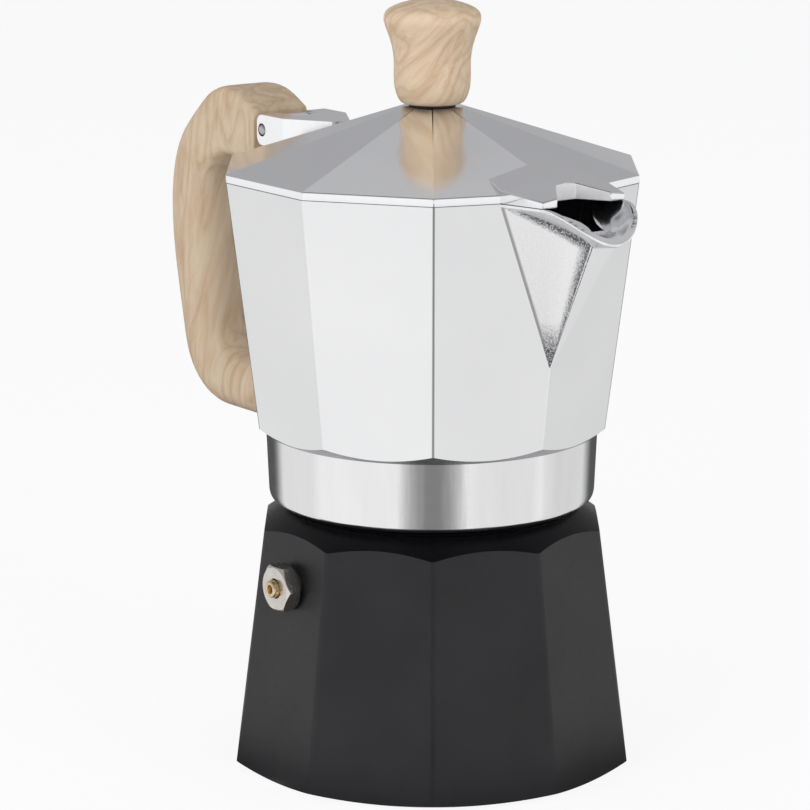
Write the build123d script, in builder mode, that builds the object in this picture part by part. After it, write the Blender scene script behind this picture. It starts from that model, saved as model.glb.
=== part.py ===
# Stovetop coffee maker: a faceted boiler with a safety valve, a funnel with its sieve, a faceted
# collector that screws onto the boiler, a hinged lid, and a moulded knob and handle.
# Millimetres. The origin is the centre of the base, +Z is up and +X points out of the spout.
import os
from math import atan, cos, degrees, pi, sin

from build123d import *

os.makedirs("parts", exist_ok=True)

# General
facet_count = 10
overrun = 6.0
running_clearance = 0.05
assembly_clearance = 0.15
facet_edge_rounding = 0.8

# Screw joint between boiler and collector
skirt_top_radius = 36.5
skirt_taper = 0.6
skirt_thread_wall = 3.95
thread_clearance = 0.35
neck_wall = 2.8
skirt_bore_radius = skirt_top_radius - skirt_thread_wall
neck_radius = skirt_bore_radius - thread_clearance
mouth_radius = neck_radius - neck_wall

# Boiler casting
base_corner_radius = 45.4
foot_ring_radius = 39.6
foot_cone_height = 2.1
boiler_corner_height = 54.0
shoulder_height = 4.0
shoulder_run = 5.6
shoulder_ledge_width = 0.8
neck_height = 10.0
boiler_wall = 3.5
boiler_floor = 4.5
boiler_floor_rounding = 4.0

# Safety valve
valve_height = 44.6
valve_boss_radius = 5.7
valve_boss_proud = 0.12
valve_washer_radius = 5.2
valve_washer_thickness = 0.4
valve_hex_width = 9.5
valve_hex_thickness = 3.0
valve_hex_dome = 0.7
valve_shank_radius = 3.9
valve_shank_gap = 1.6
valve_chamber_radius = 2.9
valve_front_wall = 1.2
valve_seat_wall = 1.2
valve_orifice_radius = 1.3
valve_stem_radius = 1.9
valve_stem_proud = 1.3
valve_stem_hole_radius = 0.9
valve_stem_hole_depth = 2.5
valve_flange_radius = 2.5
valve_flange_thickness = 0.8
valve_seal_thickness = 0.8

# Funnel and its sieve
funnel_flange_inset = 0.4
funnel_flange_thickness = 0.8
funnel_wall = 1.0
basket_clearance = 0.4
basket_depth = 20.0
basket_ledge_width = 1.2
funnel_cone_height = 9.0
funnel_tube_radius = 5.5
funnel_foot_gap = 3.5
sieve_thickness = 0.8
sieve_hole_radius = 1.0
sieve_ring_shares = (0.3, 0.56, 0.82)
sieve_ring_counts = (6, 11, 16)

# Gasket and filter plate
gasket_width = 6.2
gasket_thickness = 3.2
filter_plate_inset = 2.6
filter_plate_thickness = 0.6

# Collector casting
skirt_gap = 1.4
skirt_height = 15.3
skirt_edge_rounding = 1.4
collar_height = 2.3
collar_width = 3.0
collector_top_corner_radius = 46.4
collector_height = 54.3
collector_wall = 2.4
collector_floor_rise = 3.5
collector_floor_thickness = 3.0
chamber_edge_height = 1.5

# Coffee column
column_spigot_radius = 5.0
column_bore_radius = 3.6
column_base_radius = 8.0
column_base_height = 2.5
column_top_radius = 5.4
column_height = 36.0
column_cap_thickness = 1.6
column_outlet_width = 4.0
column_outlet_height = 6.0

# Spout
spout_drop = 37.6
spout_reach = 17.6
spout_front_half_width = 3.7
spout_apex_sink = 0.7
spout_wall = 1.8
spout_apex_wall = 9.0
spout_side_sag = 2.2
spout_apex_share = 0.04
lip_reach = 11.1
lip_level_run = 1.3
lip_drop = 6.0
lip_thickness = 3.2
lip_tip_thickness = 1.5
lip_land_width = 2.2
lip_dish_depth = 1.5
lip_dish_tip_depth = 0.7
lip_overrun_share = 1.05

# Hinge
pin_setback = 7.0
pin_rise = 4.0
pin_radius = 1.4
lug_thickness = 7.0
lug_boss_radius = 3.1
lug_neck_top_gap = 0.5
lug_neck_depth = 11.0
lug_tail_height = 6.0
lug_tail_length = 17.5

# Lid
lid_rim_height = 1.8
lid_roof_height = 12.9
lid_top_corner_radius = 6.8
lid_seat_width = 2.8
lid_boss_corner_radius = 8.5
strap_width = 17.5
strap_barrel_radius = 3.5
strap_end_setback = 9.9
strap_floor_gap = 0.4
strap_slot_clearance = 0.25
strap_slot_reach = 5.6
beak_reach = 6.3
beak_front_half_width = 10.8
beak_front_thickness = 1.3
beak_root_rise = 2.8
hood_half_width = 7.3
hood_rise = 5.0
hood_corner_rounding = 2.2
hood_wall = 0.5
hood_mouth_rise = 1.8

# Knob
knob_washer_thickness = 0.6
knob_washer_radius = 5.6
knob_height = 22.6
knob_base_radius = 6.1
knob_waist_radius = 8.35
knob_crown_radius = 10.55
knob_foot_height_share = 0.18
knob_waist_height_share = 0.42
knob_crown_height_share = 0.82
knob_dome_height_share = 0.94
knob_dome_radius_share = 0.835
knob_screw_radius = 2.0
knob_screw_head_radius = 3.6
knob_screw_head_height = 2.2
knob_insert_radius = 3.4
knob_insert_length = 10.0
knob_insert_recess = 1.0

# Handle
handle_end_gap = 4.6
handle_width = 15.5
handle_edge_rounding = 4.2
handle_reach = 40.5
handle_drop = 77.6
handle_top_rise = 8.1
handle_block_height = 12.6
handle_foot_setback = 2.0
handle_foot_height = 14.0
handle_grip_depth = 16.6
handle_nose_run = 8.5
handle_crown_run = 20.5
handle_shoulder_drop = 17.4
handle_bend_drop = 39.0
handle_lean_share = 0.2234
handle_nose_radius = 10.0
handle_crown_radius = 22.0
handle_shoulder_radius = 22.0
handle_bend_radius = 70.0
handle_heel_radius = 18.0
handle_foot_radius = 8.5
handle_toe_radius = 5.0
handle_inner_foot_radius = 8.0
handle_inner_top_radius = 11.0
handle_screw_radius = 2.0
handle_screw_head_radius = 3.6
handle_screw_head_height = 2.4
handle_screw_setback = 11.5
handle_screw_bite_share = 0.8

# Heights that follow from the stack of pieces
shoulder_top_z = boiler_corner_height + shoulder_height
neck_top_z = shoulder_top_z + neck_height
funnel_top_z = neck_top_z + funnel_flange_thickness
gasket_top_z = funnel_top_z + gasket_thickness
filter_seat_z = gasket_top_z + filter_plate_thickness
skirt_low_z = shoulder_top_z + skirt_gap
collar_low_z = skirt_low_z + skirt_height
collar_top_z = collar_low_z + collar_height
collector_top_z = collar_top_z + collector_height
collector_floor_z = collar_top_z + collector_floor_rise
lid_rim_z = collector_top_z + lid_rim_height
lid_top_z = lid_rim_z + lid_roof_height
knob_low_z = lid_top_z + knob_washer_thickness

# Radii that follow from the screw joint
shoulder_top_radius = neck_radius + shoulder_ledge_width
shoulder_corner_radius = shoulder_top_radius + shoulder_run
funnel_flange_radius = neck_radius - funnel_flange_inset
gasket_inner_radius = neck_radius - gasket_width
filter_plate_radius = neck_radius - filter_plate_inset
basket_radius = mouth_radius - basket_clearance
skirt_low_radius = skirt_top_radius - skirt_taper
collector_low_corner_radius = skirt_top_radius + collar_width

# Slopes of the faceted walls, as change of corner radius with height
facet_angle = pi / facet_count
flat_ratio = cos(facet_angle)
boiler_slope = (base_corner_radius - shoulder_corner_radius) / (boiler_corner_height - foot_cone_height)
collector_slope = (collector_top_corner_radius - collector_low_corner_radius) / collector_height
roof_slope = (collector_top_corner_radius - lid_top_corner_radius) / lid_roof_height
boiler_taper = degrees(atan(boiler_slope * flat_ratio))
collector_taper = degrees(atan(collector_slope * flat_ratio))
roof_taper = degrees(atan(roof_slope * flat_ratio))


def boiler_corner_radius(height):
    return base_corner_radius + boiler_slope * (foot_cone_height - height)


def collector_corner_radius(height):
    return collector_low_corner_radius + collector_slope * (height - collar_top_z)


def slanted(edges):
    """The edges between neighbouring facets, which are neither level nor curved."""
    level_limit = 0.1
    return [edge for edge in edges if abs(edge.tangent_at(0).Z) > level_limit]


# Boiler: a faceted cone, turned to a chamfered foot and a conical shoulder on the lathe
envelope_radius = base_corner_radius + overrun
foot_cone_slope = foot_cone_height / (base_corner_radius - foot_ring_radius)
shoulder_slope = shoulder_height / (shoulder_corner_radius - shoulder_top_radius)
envelope_foot_z = foot_cone_slope * (envelope_radius - foot_ring_radius)
envelope_shoulder_z = boiler_corner_height - shoulder_slope * (envelope_radius - shoulder_corner_radius)
boiler_inner_low_radius = boiler_corner_radius(boiler_floor) * flat_ratio - boiler_wall
boiler_inner_top_radius = boiler_corner_radius(boiler_corner_height) * flat_ratio - boiler_wall
boiler_inner_top_z = boiler_corner_height - boiler_wall / 2
mouth_low_z = boiler_inner_top_z + shoulder_slope * (boiler_inner_top_radius - mouth_radius)
valve_plane = Plane(origin=(0, 0, valve_height), x_dir=(1, 0, 0), z_dir=(0, -1, 0))
valve_wall_face = flat_ratio * max(
    boiler_corner_radius(valve_height - valve_boss_radius),
    boiler_corner_radius(valve_height + valve_boss_radius),
)
valve_boss_face = valve_wall_face + valve_boss_proud
valve_shank_end = basket_radius + valve_shank_gap

with BuildPart() as boiler:
    with BuildSketch():
        RegularPolygon(boiler_corner_radius(0), facet_count)
    extrude(amount=shoulder_top_z, taper=boiler_taper)
    fillet(slanted(boiler.edges()), facet_edge_rounding)
    with BuildSketch(Plane.XZ):
        with BuildLine():
            Polyline(
                (0, 0),
                (foot_ring_radius, 0),
                (envelope_radius, envelope_foot_z),
                (envelope_radius, envelope_shoulder_z),
                (shoulder_top_radius, shoulder_top_z),
                (0, shoulder_top_z),
                close=True,
            )
        make_face()
    revolve(axis=Axis.Z, mode=Mode.INTERSECT)
    with BuildSketch(Plane.XY.offset(shoulder_top_z)):
        Circle(neck_radius)
    extrude(amount=neck_height)
    with BuildSketch(valve_plane.offset(valve_boss_face)):
        Circle(valve_boss_radius)
    extrude(amount=-valve_boss_proud - boiler_wall)
    with BuildSketch(Plane.XZ):
        with BuildLine():
            Polyline(
                (0, boiler_floor),
                (boiler_inner_low_radius, boiler_floor),
                (boiler_inner_top_radius, boiler_inner_top_z),
                (mouth_radius, mouth_low_z),
                (mouth_radius, neck_top_z + overrun),
                (0, neck_top_z + overrun),
                close=True,
            )
        make_face()
        fillet(vertices().group_by(Axis.Y)[0].sort_by(Axis.X)[-1], boiler_floor_rounding)
    revolve(axis=Axis.Z, mode=Mode.SUBTRACT)
    with BuildSketch(valve_plane.offset(valve_shank_end)):
        Circle(valve_shank_radius + assembly_clearance)
    extrude(amount=valve_boss_face - valve_shank_end + overrun, mode=Mode.SUBTRACT)
boiler.part.label = "boiler"
export_step(boiler.part, "parts/boiler.step")

# Valve body: a hexagon with a domed face and a shank through the boiler wall
valve_hex_low = valve_boss_face + valve_washer_thickness
valve_hex_top = valve_hex_low + valve_hex_thickness
valve_corner_radius = valve_hex_width / 2 / cos(pi / 6)
valve_seat_face = valve_shank_end + valve_seat_wall
valve_chamber_top = valve_hex_top - valve_front_wall

with BuildPart() as valve_body:
    with BuildSketch(valve_plane.offset(valve_hex_low)):
        RegularPolygon(valve_hex_width / 2, 6, major_radius=False)
    extrude(amount=valve_hex_thickness)
    with BuildSketch(Plane.YZ):
        with BuildLine():
            Polyline(
                (-valve_hex_low, valve_height),
                (-valve_hex_top, valve_height),
                (-valve_hex_top, valve_height + valve_hex_width / 2),
                (-valve_hex_top + valve_hex_dome, valve_height + valve_corner_radius),
                (-valve_hex_low, valve_height + valve_corner_radius),
                close=True,
            )
        make_face()
    revolve(axis=Axis((0, 0, valve_height), (0, 1, 0)), mode=Mode.INTERSECT)
    with BuildSketch(valve_plane.offset(valve_shank_end)):
        Circle(valve_shank_radius)
    extrude(amount=valve_hex_low - valve_shank_end)
    with BuildSketch(valve_plane.offset(valve_seat_face)):
        Circle(valve_chamber_radius)
    extrude(amount=valve_chamber_top - valve_seat_face, mode=Mode.SUBTRACT)
    with BuildSketch(valve_plane.offset(valve_shank_end)):
        Circle(valve_orifice_radius)
    extrude(amount=valve_seat_wall, mode=Mode.SUBTRACT)
    with BuildSketch(valve_plane.offset(valve_chamber_top)):
        Circle(valve_stem_radius + running_clearance)
    extrude(amount=valve_front_wall, mode=Mode.SUBTRACT)
valve_body.part.label = "valve_body"
export_step(valve_body.part, "parts/valve_body.step")

# Valve washer: a flat ring under the hexagon
with BuildPart() as valve_washer:
    with BuildSketch(valve_plane.offset(valve_boss_face)):
        Circle(valve_washer_radius)
        Circle(valve_shank_radius + assembly_clearance, mode=Mode.SUBTRACT)
    extrude(amount=valve_washer_thickness)
valve_washer.part.label = "valve_washer"
export_step(valve_washer.part, "parts/valve_washer.step")

# Valve seal: a rubber disc that the spring presses on the seat
with BuildPart() as valve_seal:
    with BuildSketch(valve_plane.offset(valve_seat_face)):
        Circle(valve_flange_radius)
    extrude(amount=valve_seal_thickness)
valve_seal.part.label = "valve_seal"
export_step(valve_seal.part, "parts/valve_seal.step")

# Valve stem: a flanged brass pin whose hollow end shows in the hexagon
valve_stem_low = valve_seat_face + valve_seal_thickness
valve_stem_top = valve_hex_top + valve_stem_proud

with BuildPart() as valve_stem:
    with BuildSketch(valve_plane.offset(valve_stem_low)):
        Circle(valve_flange_radius)
    extrude(amount=valve_flange_thickness)
    with BuildSketch(valve_plane.offset(valve_stem_low)):
        Circle(valve_stem_radius)
    extrude(amount=valve_stem_top - valve_stem_low)
    with BuildSketch(valve_plane.offset(valve_stem_top)):
        Circle(valve_stem_hole_radius)
    extrude(amount=-valve_stem_hole_depth, mode=Mode.SUBTRACT)
valve_stem.part.label = "valve_stem"
export_step(valve_stem.part, "parts/valve_stem.step")

# Valve spring: the space of the coil inside the closed chamber
valve_spring_low = valve_stem_low + valve_flange_thickness

with BuildPart() as valve_spring:
    with BuildSketch(valve_plane.offset(valve_spring_low)):
        Circle(valve_chamber_radius - assembly_clearance)
        Circle(valve_stem_radius + assembly_clearance, mode=Mode.SUBTRACT)
    extrude(amount=valve_chamber_top - valve_spring_low)
valve_spring.part.label = "valve_spring"
export_step(valve_spring.part, "parts/valve_spring.step")

# Funnel: a flanged basket that narrows to a tube reaching down into the water
basket_inner_radius = basket_radius - funnel_wall
basket_ledge_radius = basket_inner_radius - basket_ledge_width
basket_ledge_z = neck_top_z - basket_depth
funnel_cone_z = basket_ledge_z - funnel_cone_height
funnel_tube_z = boiler_floor + funnel_foot_gap

with BuildPart() as funnel:
    with BuildSketch(Plane.XZ):
        with BuildLine():
            Polyline(
                (0, funnel_tube_z),
                (funnel_tube_radius, funnel_tube_z),
                (funnel_tube_radius, funnel_cone_z - funnel_wall),
                (basket_radius, basket_ledge_z - funnel_wall),
                (basket_radius, neck_top_z),
                (funnel_flange_radius, neck_top_z),
                (funnel_flange_radius, funnel_top_z),
                (0, funnel_top_z),
                close=True,
            )
        make_face()
        with BuildLine():
            Polyline(
                (0, funnel_tube_z - overrun),
                (funnel_tube_radius - funnel_wall, funnel_tube_z - overrun),
                (funnel_tube_radius - funnel_wall, funnel_cone_z),
                (basket_ledge_radius, basket_ledge_z),
                (basket_inner_radius, basket_ledge_z),
                (basket_inner_radius, funnel_top_z + overrun),
                (0, funnel_top_z + overrun),
                close=True,
            )
        make_face(mode=Mode.SUBTRACT)
    revolve(axis=Axis.Z)
funnel.part.label = "funnel"
export_step(funnel.part, "parts/funnel.step")


def sieve_holes(ring_radius):
    """Rings of round holes, spread over a disc of this radius, in the sketch being drawn."""
    Circle(sieve_hole_radius, mode=Mode.SUBTRACT)
    for share, count in zip(sieve_ring_shares, sieve_ring_counts):
        with PolarLocations(ring_radius * share, count):
            Circle(sieve_hole_radius, mode=Mode.SUBTRACT)


# Basket sieve: a pierced disc on the ledge at the foot of the basket
with BuildPart() as basket_sieve:
    with BuildSketch(Plane.XY.offset(basket_ledge_z)):
        Circle(basket_inner_radius - assembly_clearance)
        sieve_holes(basket_ledge_radius)
    extrude(amount=sieve_thickness)
basket_sieve.part.label = "basket_sieve"
export_step(basket_sieve.part, "parts/basket_sieve.step")

# Gasket: a flat silicone ring between the funnel's flange and the collector

with BuildPart() as gasket:
    with BuildSketch(Plane.XY.offset(funnel_top_z)):
        Circle(skirt_bore_radius - thread_clearance)
        Circle(gasket_inner_radius, mode=Mode.SUBTRACT)
    extrude(amount=gasket_thickness)
gasket.part.label = "gasket"
export_step(gasket.part, "parts/gasket.step")

# Filter plate: a pierced disc that the gasket holds up against the collector
with BuildPart() as filter_plate:
    with BuildSketch(Plane.XY.offset(gasket_top_z)):
        Circle(filter_plate_radius)
        sieve_holes(gasket_inner_radius)
    extrude(amount=filter_plate_thickness)
filter_plate.part.label = "filter_plate"
export_step(filter_plate.part, "parts/filter_plate.step")

# Spout: a beak on the front corner with hollow cheeks, a narrow front face and an overhanging lip
spout_apex_z = collector_top_z - spout_drop
spout_apex_x = collector_corner_radius(spout_apex_z) - spout_apex_sink
spout_root_radius = collector_top_corner_radius * flat_ratio
spout_root_x = spout_root_radius * cos(facet_angle)
spout_root_y = spout_root_radius * sin(facet_angle)
spout_front_x = collector_top_corner_radius + spout_reach
spout_back_x = spout_root_x - collector_wall


def spout_section(height, scale_share, inset):
    """The spout's outline at one height, drawn towards the apex by a share of its size."""

    def at(x, y):
        return (spout_apex_x + scale_share * (x - spout_apex_x), scale_share * y)

    front_x = spout_front_x - inset
    front_y = spout_front_half_width - inset / 2
    root_y = spout_root_y - inset
    cheek_length = ((front_x - spout_root_x) ** 2 + (root_y - front_y) ** 2) ** (1 / 2)
    middle_x = (front_x + spout_root_x) / 2 - spout_side_sag * (root_y - front_y) / cheek_length
    middle_y = (front_y + root_y) / 2 - spout_side_sag * (front_x - spout_root_x) / cheek_length
    with BuildSketch(Plane.XY.offset(height)) as section:
        with BuildLine():
            Line(at(front_x, -front_y), at(front_x, front_y))
            ThreePointArc(at(front_x, front_y), at(middle_x, middle_y), at(spout_root_x, root_y))
            ThreePointArc(at(front_x, -front_y), at(middle_x, -middle_y), at(spout_root_x, -root_y))
            Line(at(spout_root_x, root_y), at(spout_back_x, root_y))
            Line(at(spout_root_x, -root_y), at(spout_back_x, -root_y))
            Line(at(spout_back_x, root_y), at(spout_back_x, -root_y))
        make_face()
    return section.sketch


def lip_outline(inset):
    """The lip seen from above: straight sides under the lid's beak, then a round nose."""
    root_y = spout_root_y - inset
    side_y = beak_front_half_width - inset
    with BuildSketch(Plane.XY.offset(collector_top_z)) as outline:
        with BuildLine():
            ThreePointArc((beak_x, side_y), (lip_front_x - inset, 0), (beak_x, -side_y))
            Polyline(
                (beak_x, side_y),
                (spout_root_x, root_y),
                (spout_back_x, root_y),
                (spout_back_x, -root_y),
                (spout_root_x, -root_y),
                (beak_x, -side_y),
            )
        make_face()
    return outline.sketch


def lip_arc(start_lowering, tip_lowering):
    """Start, middle and end of an arc that leaves the rim level and dips past the nose."""

    def at(angle, lowering):
        fall = lip_radius * (1 - cos(angle)) + lowering
        return (lip_start_x + lip_radius * sin(angle), collector_top_z - fall)

    return (
        at(0, start_lowering),
        at(lip_arc_angle / 2, (start_lowering + tip_lowering) / 2),
        at(lip_arc_angle, tip_lowering),
    )


spout_apex_rise = spout_apex_share * spout_drop
spout_inner_apex_z = spout_apex_z + spout_apex_wall
spout_inner_rise = spout_apex_share * (collector_top_z - spout_inner_apex_z)
beak_x = collector_top_corner_radius + beak_reach
lip_start_x = beak_x + lip_level_run
lip_front_x = beak_x + lip_reach
lip_run = lip_front_x - lip_start_x
lip_radius = (lip_run**2 + lip_drop**2) / (2 * lip_drop)
lip_arc_angle = 2 * atan(lip_drop / lip_run) * lip_overrun_share
lip_upper = lip_arc(0, 0)
lip_lower = lip_arc(lip_thickness, lip_tip_thickness)
lip_floor = lip_arc(lip_dish_depth, lip_dish_tip_depth)

with BuildPart() as spout_cheeks:
    loft(
        [
            spout_section(spout_apex_z + spout_apex_rise, spout_apex_share, 0),
            spout_section(collector_top_z, 1, 0),
        ],
        ruled=True,
    )

with BuildPart() as spout_lip:
    with BuildSketch(Plane.XZ):
        with BuildLine():
            ThreePointArc(*lip_upper)
            ThreePointArc(*lip_lower)
            Line(lip_upper[2], lip_lower[2])
            Polyline(
                lip_upper[0],
                (spout_back_x, collector_top_z),
                (spout_back_x, collector_top_z - lip_thickness),
                lip_lower[0],
            )
        make_face()
    extrude(amount=spout_root_y + overrun, both=True)
    extrude(lip_outline(0), amount=-lip_drop - lip_thickness, mode=Mode.INTERSECT)

with BuildPart() as lip_dish:
    with BuildSketch(Plane.XZ):
        with BuildLine():
            ThreePointArc(*lip_floor)
            Polyline(
                lip_floor[2],
                (spout_front_x + overrun, lip_floor[2][1]),
                (spout_front_x + overrun, collector_top_z + overrun),
                (spout_back_x, collector_top_z + overrun),
                (spout_back_x, collector_top_z - lip_dish_depth),
                lip_floor[0],
            )
        make_face()
    extrude(amount=spout_root_y, both=True)
    extrude(lip_outline(lip_land_width), amount=lip_drop + lip_thickness, both=True, mode=Mode.INTERSECT)

with BuildPart() as spout_channel:
    loft(
        [
            spout_section(spout_inner_apex_z + spout_inner_rise, spout_apex_share, spout_wall),
            spout_section(collector_top_z, 1, spout_wall),
        ],
        ruled=True,
    )

# Collector: a faceted cup over a turned skirt, with the spout in front and the hinge lug behind
pin_x = -collector_top_corner_radius - pin_setback
pin_z = collector_top_z + pin_rise
lug_neck_x = -collector_top_corner_radius + collector_wall / 2
lug_neck_z = collector_top_z - lug_neck_top_gap
lug_tail_x = pin_x - lug_tail_length
lug_tail_top_z = pin_z + lug_tail_height / 2 - lug_boss_radius / 2
lug_tail_low_z = lug_tail_top_z - lug_tail_height
handle_end_x = pin_x - handle_end_gap
handle_screw_x = handle_end_x - handle_screw_setback / 2
collar_slope = collar_height / (collector_low_corner_radius - skirt_top_radius)
collar_out_radius = collector_top_corner_radius + overrun
collar_out_z = collar_low_z + collar_slope * (collar_out_radius - skirt_top_radius)
collector_inner_inset = collector_wall / flat_ratio
chamber_top_z = collector_floor_z - collector_floor_thickness

with BuildPart() as collector_hollow:
    with BuildSketch(Plane.XY.offset(-collector_top_z)):
        RegularPolygon(collector_top_corner_radius - collector_inner_inset, facet_count)
    extrude(amount=collector_top_z - collector_floor_z, taper=collector_taper)
    mirror(about=Plane.XY, mode=Mode.REPLACE)

with BuildPart() as collector:
    with BuildSketch(Plane.XY.offset(-collector_top_z)):
        RegularPolygon(collector_top_corner_radius, facet_count)
    extrude(amount=collector_top_z - collar_low_z, taper=collector_taper)
    fillet(slanted(collector.edges()), facet_edge_rounding)
    mirror(about=Plane.XY, mode=Mode.REPLACE)
    with BuildSketch(Plane.XZ):
        with BuildLine():
            Polyline(
                (0, collar_low_z),
                (skirt_top_radius, collar_low_z),
                (collar_out_radius, collar_out_z),
                (collar_out_radius, collector_top_z),
                (0, collector_top_z),
                close=True,
            )
        make_face()
    revolve(axis=Axis.Z, mode=Mode.INTERSECT)
    with BuildSketch(Plane.XZ):
        with BuildLine():
            Polyline(
                (0, skirt_low_z),
                (skirt_low_radius, skirt_low_z),
                (skirt_top_radius, collar_low_z),
                (0, collar_low_z),
                close=True,
            )
        make_face()
        fillet(vertices().group_by(Axis.Y)[0].sort_by(Axis.X)[-1], skirt_edge_rounding)
    revolve(axis=Axis.Z)
    add(spout_cheeks.part)
    with BuildSketch(Plane.XZ):
        with BuildLine():
            ThreePointArc(*lip_upper)
            Polyline(
                lip_upper[2],
                (spout_front_x + overrun, lip_upper[2][1]),
                (spout_front_x + overrun, collector_top_z + overrun),
                (lip_start_x, collector_top_z + overrun),
                lip_upper[0],
            )
        make_face()
    extrude(amount=spout_root_y + overrun, both=True, mode=Mode.SUBTRACT)
    add(spout_lip.part)
    with BuildSketch(Plane.XZ):
        with BuildLine():
            Polyline(
                (lug_neck_x, lug_neck_z),
                (pin_x + strap_slot_reach, lug_neck_z),
                (pin_x, pin_z),
                (pin_x, lug_tail_top_z),
                (lug_tail_x, lug_tail_top_z),
                (lug_tail_x, lug_tail_low_z),
                (handle_end_x, lug_tail_low_z),
                (lug_neck_x, lug_neck_z - lug_neck_depth),
                close=True,
            )
        make_face()
        with Locations((pin_x, pin_z)):
            Circle(lug_boss_radius)
    extrude(amount=lug_thickness / 2, both=True)
    add(collector_hollow.part, mode=Mode.SUBTRACT)
    add(spout_channel.part, mode=Mode.SUBTRACT)
    add(lip_dish.part, mode=Mode.SUBTRACT)
    with BuildSketch(Plane.XZ):
        with BuildLine():
            Polyline(
                (0, skirt_low_z - overrun),
                (skirt_bore_radius, skirt_low_z - overrun),
                (skirt_bore_radius, filter_seat_z),
                (gasket_inner_radius, filter_seat_z),
                (gasket_inner_radius, filter_seat_z + chamber_edge_height),
                (column_spigot_radius, chamber_top_z),
                (column_spigot_radius, collector_floor_z + overrun),
                (0, collector_floor_z + overrun),
                close=True,
            )
        make_face()
    revolve(axis=Axis.Z, mode=Mode.SUBTRACT)
    with BuildSketch(Plane.XZ):
        with Locations((pin_x, pin_z)):
            Circle(pin_radius + running_clearance)
    extrude(amount=lug_thickness, both=True, mode=Mode.SUBTRACT)
    with BuildSketch(Plane.XY.offset(lug_tail_low_z)):
        with Locations((handle_screw_x, 0)):
            Circle(handle_screw_radius + running_clearance)
    extrude(amount=lug_tail_height, mode=Mode.SUBTRACT)
collector.part.label = "collector"
export_step(collector.part, "parts/collector.step")

# Coffee column: a tapered tube pressed into the floor, with two outlets under its closed top
column_top_z = collector_floor_z + column_height
column_outlet_z = column_top_z - column_cap_thickness - column_outlet_height / 2

with BuildPart() as column:
    with BuildSketch(Plane.XZ):
        with BuildLine():
            Polyline(
                (0, chamber_top_z),
                (column_spigot_radius - running_clearance, chamber_top_z),
                (column_spigot_radius - running_clearance, collector_floor_z),
                (column_base_radius, collector_floor_z),
                (column_base_radius - column_base_height / 2, collector_floor_z + column_base_height),
                (column_top_radius, column_top_z),
                (0, column_top_z),
                close=True,
            )
        make_face()
        fillet(vertices().group_by(Axis.Y)[-1].sort_by(Axis.X)[-1], column_cap_thickness)
    revolve(axis=Axis.Z)
    with BuildSketch(Plane.XY.offset(chamber_top_z)):
        Circle(column_bore_radius)
    extrude(amount=column_top_z - column_cap_thickness - chamber_top_z, mode=Mode.SUBTRACT)
    with BuildSketch(Plane.XZ):
        with Locations((0, column_outlet_z)):
            Rectangle(column_outlet_width, column_outlet_height)
    extrude(amount=column_base_radius, both=True, mode=Mode.SUBTRACT)
column.part.label = "column"
export_step(column.part, "parts/column.step")

# Hinge pin: a plain rod through the lid's two cheeks and the collector's lug
with BuildPart() as hinge_pin:
    with BuildSketch(Plane.XZ):
        with Locations((pin_x, pin_z)):
            Circle(pin_radius)
    extrude(amount=strap_width / 2, both=True)
hinge_pin.part.label = "hinge_pin"
export_step(hinge_pin.part, "parts/hinge_pin.step")

# Lid: a faceted roof with a hinge strap behind and a hooded beak over the spout
beak_back_x = spout_root_x - beak_reach * 2
beak_side_slope = (spout_root_y - beak_front_half_width) / (beak_x - spout_root_x)
beak_top_slope = (beak_root_rise - beak_front_thickness) / (beak_x - spout_root_x)
beak_back_half_width = spout_root_y + beak_side_slope * (spout_root_x - beak_back_x)
beak_back_rise = beak_root_rise + beak_top_slope * (spout_root_x - beak_back_x)
strap_end_x = pin_x + strap_end_setback
strap_top_z = pin_z + strap_barrel_radius
strap_low_z = collector_top_z + strap_floor_gap
lid_hollow_corner_radius = collector_top_corner_radius - lid_seat_width
lid_hollow_height = (lid_hollow_corner_radius - lid_boss_corner_radius) / roof_slope
lid_hollow_top_z = collector_top_z + lid_hollow_height
slot_half_width = lug_thickness / 2 + strap_slot_clearance
front_plane = Plane(origin=(beak_x, 0, 0), x_dir=(0, 1, 0), z_dir=(1, 0, 0))

with BuildPart() as beak:
    with BuildSketch(Plane.XZ):
        with BuildLine():
            Polyline(
                (beak_back_x, collector_top_z),
                (beak_x, collector_top_z),
                (beak_x, collector_top_z + beak_front_thickness),
                (beak_back_x, collector_top_z + beak_back_rise),
                close=True,
            )
        make_face()
    extrude(amount=beak_back_half_width, both=True)
    with BuildSketch(Plane.XY.offset(collector_top_z)):
        with BuildLine():
            Polyline(
                (beak_back_x, beak_back_half_width),
                (beak_x, beak_front_half_width),
                (beak_x, -beak_front_half_width),
                (beak_back_x, -beak_back_half_width),
                close=True,
            )
        make_face()
    extrude(amount=beak_back_rise, mode=Mode.INTERSECT)

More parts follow.
